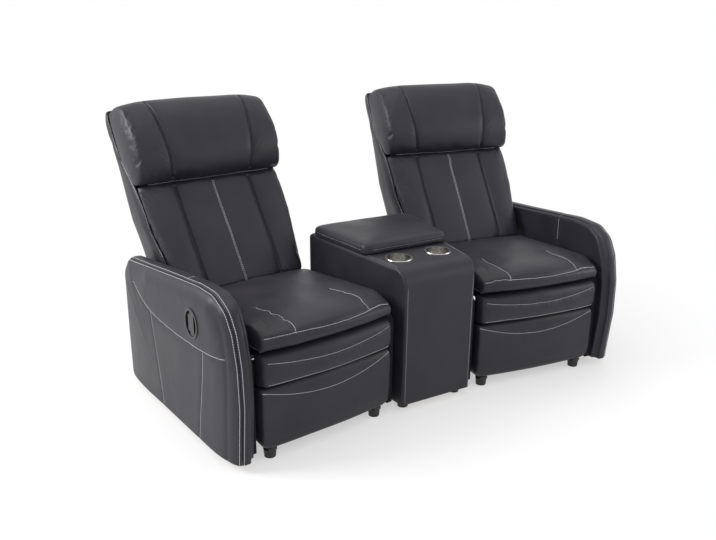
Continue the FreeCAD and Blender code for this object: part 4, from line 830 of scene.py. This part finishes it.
def arm_path(count):
    """The arm's side outline from the front foot to the rear foot with its corners rounded, and
    the direction square to it at each point."""
    p = np.array(ARM_OUTLINE)
    corners = [soft_corner(a, b, c, radius) for a, b, c, radius in zip(p[:-2], p[1:-1], p[2:], ARM_ROUNDING)]
    path = even_curve(np.concatenate([p[:1]] + corners + [p[-1:]]), count)
    along = unit(np.gradient(path, axis=0))
    return path, np.column_stack([-along[:, 1], along[:, 0]])


arm_edge, arm_normal = arm_path(300)
arm_normal = arm_normal * np.sign(np.sum((arm_edge - ARM_MIDDLE) * arm_normal))


def arm_ring(x, draw):
    """The outline at one place across the arm, drawn in by a distance."""
    ring = arm_edge - arm_normal * np.broadcast_to(draw, len(arm_edge))[:, None]
    ring[:, 1] = np.maximum(ring[:, 1], UPHOLSTERY_FOOT)
    return np.column_stack([np.broadcast_to(x, len(ring)), ring])


def arm_face(x, draw, rings):
    """Rings from the middle of the arm's foot out to its outline."""
    share = np.linspace(0.0, 1.0, rings)[:-1, None, None]
    edge = arm_ring(x, draw)
    centre = np.array([x, *ARM_MIDDLE])
    return centre + (edge[None] - centre) * share


slim = np.clip((-400.0 - arm_edge[:, 0]) / 60.0, 0.0, 1.0)
inner_draw = 9.0 + 12.0 * slim
inner_round = 13.0 + 8.0 * slim
turn = np.linspace(0, np.pi / 2, 9)
band = [arm_ring(ARM_INNER - inner_round * np.sin(a), inner_draw * np.cos(a) ** 1.4) for a in turn]
band += [arm_ring(x - (x - ARM_OUTER) * 0.15 * slim, draw) for x, draw in
         ((-322.0, -1.0), (-330.0, -1.5), (-338.0, -1.5), (-344.0, -0.5), (-349.0, 1.2), (-352.5, 3.2),
          (-354.2, 5.5))]
face_rings = arm_face(ARM_INNER, inner_draw, 50)
share = np.linspace(0.0, 1.0, 50)[:-1, None]
face_rings[..., 0] += 3.0 * np.sin(np.pi * share)
pad_grid = np.concatenate([face_rings, np.array(band)])
arm_pad_points = pad_grid.reshape(-1, 3)
arm_pad_faces = grid_faces(*pad_grid.shape[:2])

panel_draws = (60.0
               + 180.0 * np.clip((arm_edge[:, 0] - 150.0) / 200.0, 0, 1)
               + 90.0 * np.clip((-360.0 - arm_edge[:, 0]) / 90.0, 0, 1))
reach = np.abs(np.sum((arm_edge - ARM_MIDDLE) * arm_normal, axis=1))
share = np.concatenate([1.0 - np.linspace(0, 1, 26)[:-1] ** 1.6 * 0.22, np.linspace(0.78, 0.0, 44)])[:, None]
start_edge = arm_ring(0.0, 5.0)[:, 1:]
panel_yz = ARM_MIDDLE + (start_edge[None] - ARM_MIDDLE) * share[..., None]
inward = (1.0 - share) * reach[None, :]
rise = np.sqrt(1.0 - (1.0 - np.clip(inward / panel_draws, 0, 1)) ** 2)
panel_x = ARM_OUTER - 0.6 - (ARM_OUTER - ARM_BULGE) * rise + 0.6 * rise
panel_grid = np.concatenate([panel_x[..., None], panel_yz], axis=-1)
arm_panel_points = panel_grid.reshape(-1, 3)
arm_panel_faces = grid_faces(*panel_grid.shape[:2])

HANDLE_PLACE = np.array([-231.0, 455.0])
HANDLE_HALF = np.array([39.0, 47.0])
HANDLE_GAP = 0.6


def with_hole(points, faces, plane, middle, half, floor_level=0.0):
    """The cover with a round or oval hole above a level: the faces inside it go, and the points
    left just inside it move out onto its edge."""
    step = (points[:, plane] - middle) / half
    radius = np.maximum(np.linalg.norm(step, axis=1), 1e-6)
    inside = (radius < 1.0) & (points[:, 2] > floor_level)
    kept = faces[~inside[faces].all(axis=1)]
    edge = np.unique(kept[inside[kept]])
    points = points.copy()
    points[edge, plane] = middle + half * step[edge] / radius[edge, None]
    return points, kept


seam_rear = [(270, 454), (104, 388), (-44, 373), (-198, 372), (-299, 377), (-380, 386), (-433, 394)]
upright_rear = [(107, 388), (88, 270), (68, 140), (53, 36)]
upright_front = [(-297, 376), (-282, 270), (-258, 150), (-237, 36)]
front_fold = [(-385, 545), (-418, 480), (-436, 400), (-440, 330), (-432, 200), (-420, 36)]


def on_panel(points):
    """A line of the panel's side view, a little outside the panel."""
    return np.array([(ARM_BULGE - 2.0, y, z) for y, z in smooth_curve(points, 50)])


over_top = np.array([(ARM_INNER + 1.0, -150.0, 470.0), (ARM_INNER + 1.0, -148.0, 530.0),
                     (ARM_INNER - 4.0, -145.0, 574.0), (-318.0, -143.0, 581.0), (-336.0, -141.0, 581.0),
                     (-350.0, -140.0, 579.0)])
for number, side in enumerate(SIDES):
    lines = [on_panel(line) for line in (seam_rear, upright_rear, upright_front)]
    made = sewn(arm_panel_points, arm_panel_faces, lines, 3.0, 1.8, 11.0, 0.0, 71)
    made = sewn(made, arm_panel_faces, [on_panel(front_fold)], 9.0, 1.5, 22.0)
    made = creased(made, arm_panel_faces, 0.8, 70.0, 73 + number)
    opened, opened_faces = with_hole(made, arm_panel_faces, slice(1, 3), HANDLE_PLACE,
                                     HANDLE_HALF + HANDLE_GAP)
    piece(side + "_arm_side", opened, opened_faces, side, "base", [side + "_arm_panel"], wall=5.0)
    stitches(side + "_arm_side_thread", made, arm_panel_faces,
             [(line, 3.2) for line in lines] + [(arm_ring(ARM_OUTER - 8.0, 7.5), 0.0)], side, "base")
    made = sewn(arm_pad_points, arm_pad_faces, [over_top], 3.0, 1.4, 10.0)
    made = creased(made, arm_pad_faces, 0.8, 38.0, 75 + number)
    piece(side + "_arm_band", made, arm_pad_faces, side, "base", [side + "_arm_pad"], wall=6.0)
    stitches(side + "_arm_band_thread", made, arm_pad_faces,
             [(arm_ring(-348.0, 1.0), 0.0), (over_top, 3.0)], side, "base")

# Console: the wedge between the seats is a plywood box in padded leather, a front band rolling over
# the shoulder onto the top between two flat side panels, joined by threaded edges.
SEAT_TURN = math.atan2(TURN_SIN, TURN_COS)
CONSOLE_SIDE = 315.0
CONSOLE_FRONT = -440.0
CONSOLE_REAR = 160.0
CONSOLE_TOP = 556.0
CONSOLE_SHOULDER = 66.0
CONSOLE_EDGE = 16.0
CONSOLE_PUFF = 2.0
BIN_FRONT = -188.0
BIN_REAR = 98.0
BIN_INSET = 52.0
RING_POINTS = 240
ROW_SHIFT = np.array([0.0, SEAT_Y / MM, 0.0])


def wedge_half(y, offset=0.0):
    """Half the console's width at a depth: its sides run parallel to the seats beside it."""
    return -SEAT_X / MM - CONSOLE_SIDE / TURN_COS + y * math.tan(SEAT_TURN) - offset / TURN_COS


def wedge_ring(z, front, rear, offset, radius, count):
    """A level outline of the wedge with round corners, from the middle of the rear round the
    right, the front and the left. Every straight and every corner has its share of the points,
    so that rings of different sizes match point by point."""
    rear_half, front_half = wedge_half(rear, offset), wedge_half(front, offset)
    way = np.array([(0.0, rear), (rear_half, rear), (front_half, front), (-front_half, front),
                    (-rear_half, rear), (0.0, rear)])
    corners = [soft_corner(a, b, c, radius) for a, b, c in zip(way[:-2], way[1:-1], way[2:])]
    ring = np.concatenate([way[:1]] + corners + [way[-1:]])
    pieces = [ring[0:2], ring[1:10], ring[9:11], ring[10:19], ring[18:20], ring[19:28], ring[27:29],
              ring[28:37], ring[36:38]]
    counts = [count // 12, 8, count // 4, 8, count // 4, 8, count // 4, 8, count // 12]
    parts = [even_curve(part, number + 1)[:-1] for part, number in zip(pieces, counts)]
    ring = np.concatenate(parts + [ring[-1:]])
    return np.column_stack([ring, np.full(len(ring), z)])


rings = []
for z in np.linspace(UPHOLSTERY_FOOT, CONSOLE_TOP - CONSOLE_SHOULDER, 70):
    puff = CONSOLE_PUFF * np.sin(np.pi * (z - UPHOLSTERY_FOOT) / (CONSOLE_TOP - UPHOLSTERY_FOOT))
    rings.append(wedge_ring(z, CONSOLE_FRONT - puff, CONSOLE_REAR, 0.0, CONSOLE_EDGE, RING_POINTS))
for angle in np.linspace(0, np.pi / 2, 22)[1:]:
    z = CONSOLE_TOP - CONSOLE_SHOULDER * (1.0 - np.sin(angle))
    front = CONSOLE_FRONT + CONSOLE_SHOULDER * (1.0 - np.cos(angle))
    over = np.clip((z - (CONSOLE_TOP - CONSOLE_EDGE)) / CONSOLE_EDGE, 0, 1)
    inset = CONSOLE_EDGE * (1.0 - np.sqrt(1.0 - over ** 2)) * 0.8
    rings.append(wedge_ring(z, front, CONSOLE_REAR - inset, inset, CONSOLE_EDGE, RING_POINTS))
edge_ring = rings[-1]
mouth = wedge_ring(CONSOLE_TOP, BIN_FRONT - 1.0, BIN_REAR + 1.0, BIN_INSET - 1.0, 12.0, RING_POINTS)
rings += [edge_ring + (mouth - edge_ring) * share for share in np.linspace(0, 1, 60)[1:]]
rings.append(mouth - np.array([0.0, 0.0, 14.0]))
console_grid = np.array(rings)
console_points = console_grid.reshape(-1, 3) + ROW_SHIFT
console_faces = grid_faces(*console_grid.shape[:2])

CUP_OFFSET = 88.0
CUP_PLACE = -289.0
CUP_HOLE = 45.6


def console_edge(sign, inward):
    """The front edge of one side: up the front, over the shoulder and back along the top."""
    angle = np.linspace(0, np.pi / 2, 14)
    y = np.concatenate([np.full(12, CONSOLE_FRONT), CONSOLE_FRONT + CONSOLE_SHOULDER * (1 - np.cos(angle)),
                        np.linspace(CONSOLE_FRONT + CONSOLE_SHOULDER, -214.0, 12)[1:]])
    z = np.concatenate([np.linspace(36.0, CONSOLE_TOP - CONSOLE_SHOULDER, 13)[:-1],
                        CONSOLE_TOP - CONSOLE_SHOULDER * (1 - np.sin(angle)), np.full(11, CONSOLE_TOP)])
    return even_curve(np.column_stack([sign * (wedge_half(y) - inward), y, z]) + ROW_SHIFT, 90)


edges = [console_edge(sign, 7.0) for sign in (-1, 1)]
made = sewn(console_points, console_faces, edges, 2.6, 1.6, 8.0)
made = creased(made, console_faces, 0.4, 60.0, 81)
opened, opened_faces = made, console_faces
for way in (-1, 1):
    cup = np.array([way * CUP_OFFSET, CUP_PLACE + ROW_SHIFT[1]])
    opened, opened_faces = with_hole(opened, opened_faces, slice(0, 2), cup, CUP_HOLE, CONSOLE_TOP - 5.0)
piece("console_skin", opened, opened_faces, None, "base", ["console_cover"], wall=7.0)
stitches("console_thread", made, console_faces, [(edges[0], 4.5), (edges[1], -4.5)], None, "base")

# Console lid: a board under a thick pad, its leather drawn over the corners,
# with a thread along its sides and front close above the board.
LID_FRONT = -212.0
LID_REAR = 128.0
LID_LOW = CONSOLE_TOP + 1.5 + 12.0 + 0.3
LID_PAD = 32.0


def lid_ring(draw, z):
    """The lid's outline at a height, drawn in by a distance."""
    return wedge_ring(z, LID_FRONT + draw, LID_REAR - draw, draw, 26.0, 200)


LID_PROFILE = ((-10.6, 14.0), (-10.8, 6.0), (-10.8, 1.0), (-10.0, -1.4), (-6.0, -1.8), (-1.0, -1.4),
               (4.0, -0.6), (8.0, -0.2), (13.0, 0.4), (18.0, 1.8), (21.5, 4.2), (24.5, 8.0),
               (26.6, 13.0), (28.0, 19.0), (29.2, 27.0), (30.2, 36.0))
rings = [lid_ring(draw, LID_LOW + rise) for rise, draw in LID_PROFILE]
top_ring = rings[-1]
lid_centre = np.array([0.0, 0.5 * (LID_FRONT + LID_REAR), LID_LOW + LID_PAD])
for share in np.linspace(0, 1, 26)[1:]:
    ring = top_ring + (lid_centre - top_ring) * share
    ring[:, 2] = top_ring[:, 2] + (LID_PAD + 1.0 - LID_PROFILE[-1][0]) * (1 - (1 - share) ** 2)
    rings.append(ring)
lid_grid = np.array(rings)
lid_points = lid_grid.reshape(-1, 3) + ROW_SHIFT
lid_faces = grid_faces(*lid_grid.shape[:2])
lid_edge = (lid_ring(0.3, LID_LOW + 7.0) + ROW_SHIFT)[20:-20]
made = sewn(lid_points, lid_faces, [lid_edge], 2.4, 1.2, 7.0, 0.4, 91)
made = creased(made, lid_faces, 0.7, 30.0, 92)
piece("lid_cushion", made, lid_faces, None, "console_lid", ["lid_pad"], wall=1.2)
stitches("lid_thread", made, lid_faces, [(lid_edge, -3.0)], None, "console_lid")


# Cup holders: two cups of spun stainless steel hang in the console's front part,
# each with a flat polished flange over the leather and turning marks inside.
def finish(name, base, roughness, metallic=0.0, grain=300.0, stretch=(1, 1, 1), spread=0.25, bump=0.2,
           depth=0.0003, specular=0.5):
    """A plain finish with its own grain: a stretched noise tints it, roughens it and raises it."""
    material = bpy.data.materials.new(name)
    add = node_set(material)
    place = add("ShaderNodeTexCoord").outputs["Object"]
    turn = add("ShaderNodeMapping", {"Vector": place, "Scale": stretch})
    noise = add("ShaderNodeTexNoise", {"Vector": turn, "Scale": grain, "Detail": 4.0, "Roughness": 0.6})
    noise = noise.outputs["Fac"]
    tone = ramp(add, noise, [channel * (1 - spread) for channel in base],
                [min(1.0, channel * (1 + spread)) for channel in base], (0.3, 0.7))
    gloss = add("ShaderNodeMapRange", {"Value": noise, "From Min": 0.3, "From Max": 0.7,
                                       "To Min": roughness * 0.85, "To Max": min(1.0, roughness * 1.15)})
    raised = add("ShaderNodeBump", {"Height": noise, "Strength": bump, "Distance": depth})
    shader = add("ShaderNodeBsdfPrincipled", {"Base Color": tone, "Roughness": gloss, "Normal": raised,
                                              "Metallic": metallic, "Specular IOR Level": specular})
    add("ShaderNodeOutputMaterial", {"Surface": shader})
    return material


def dress(material, *names):
    """Gives the named nodes their finish."""
    for name in names:
        node = frame["nodes"][name]
        node.data.materials.clear()
        node.data.materials.append(material)


def both(*names):
    """The names with left and with right before them."""
    return [side + "_" + name for side in SIDES for name in names]


dress(finish("spun_steel", (0.62, 0.61, 0.59), 0.24, 1.0, 60.0, (1, 1, 14), 0.12, 0.1, 0.0002),
      "cup_holders")

# Handles, storage bin and feet: the pulls, the bin and the glides are moulded in black plastic
# with a fine spark texture, duller on the glides.
dress(finish("black_plastic", (0.016, 0.016, 0.018), 0.38, 0.0, 900.0, spread=0.15, bump=0.15, depth=0.0002),
      *both("handle_bezel", "handle_paddle"), "console_bin")
dress(finish("glide_plastic", (0.012, 0.012, 0.013), 0.55, 0.0, 700.0, spread=0.2, bump=0.25), "feet")

# Side boards and rear panels: the boards that face the console and the wall
# are covered in thin black non-woven cloth.
dress(finish("dust_cloth", (0.014, 0.014, 0.016), 0.85, 0.0, 420.0, (1, 1, 1), 0.35, 0.5, 0.0005, 0.2),
      *both("side_boards", "rear_panel"))

# Frames and boards: the boxes of the arms and the console are bare birch plywood,
# and the frames that show when the row moves are near black, a painted shade for the dark gaps under the lid
# and in front of the seats.
dress(finish("birch_ply", (0.50, 0.36, 0.22), 0.62, 0.0, 22.0, (9, 1, 1), 0.22, 0.3, 0.0006),
      *both("arm_frame"), "console_frame")
# Their near black colour is painted shade, standing in for the dark gaps under the lid and in front of the
# seats.
dress(finish("black_ply_painted_shade", (0.016, 0.015, 0.015), 0.7, 0.0, 22.0, (9, 1, 1), 0.3, 0.3, 0.0006, 0.2),
      *both("seat_frame", "back_frame", "footrest_board"), "lid_board")

# Mechanism: links, brackets, plates and rails are pressed steel in dark grey paint,
# and the leaves of the lid's hinge are zinc plated.
dress(finish("painted_steel", (0.030, 0.031, 0.034), 0.50, 0.3, 160.0, (1, 1, 1), 0.25, 0.2, 0.0003),
      *both("side_plates", "main_links", "cross_links", "guide_links", "stay_links", "footrest_brackets",
            "base_rails", "back_arms"), "connectors")
dress(finish("zinc_plate", (0.52, 0.52, 0.50), 0.34, 1.0, 90.0, (1, 1, 1), 0.15, 0.1, 0.0002),
      "hinge_leaf", "lid_hinge")


# Seat webbing: woven elastic straps, black with rubber cores,
# are stretched over the seat frame under the cushion.
def webbing():
    """Ribs across a strap: two crossed wave patterns give the weave its ridges and its tone."""
    material = bpy.data.materials.new("elastic_webbing")
    add = node_set(material)
    place = {"Vector": add("ShaderNodeTexCoord").outputs["Object"]}
    warp = add("ShaderNodeTexWave", {**place, "Scale": 260.0, "Distortion": 0.6}, bands_direction="X")
    weft = add("ShaderNodeTexWave", {**place, "Scale": 190.0, "Distortion": 0.4}, bands_direction="Y")
    weave = add("ShaderNodeMath", {0: warp.outputs["Fac"], 1: weft.outputs["Fac"]}, operation="MULTIPLY")
    tone = ramp(add, weave, (0.010, 0.010, 0.011), (0.045, 0.045, 0.048))
    ridge = add("ShaderNodeBump", {"Height": weave, "Strength": 0.5, "Distance": 0.0006})
    shader = add("ShaderNodeBsdfPrincipled", {"Base Color": tone, "Normal": ridge, "Roughness": 0.75,
                                              "Sheen Weight": 0.15})
    add("ShaderNodeOutputMaterial", {"Surface": shader})
    return material


dress(webbing(), *both("seat_webbing"))
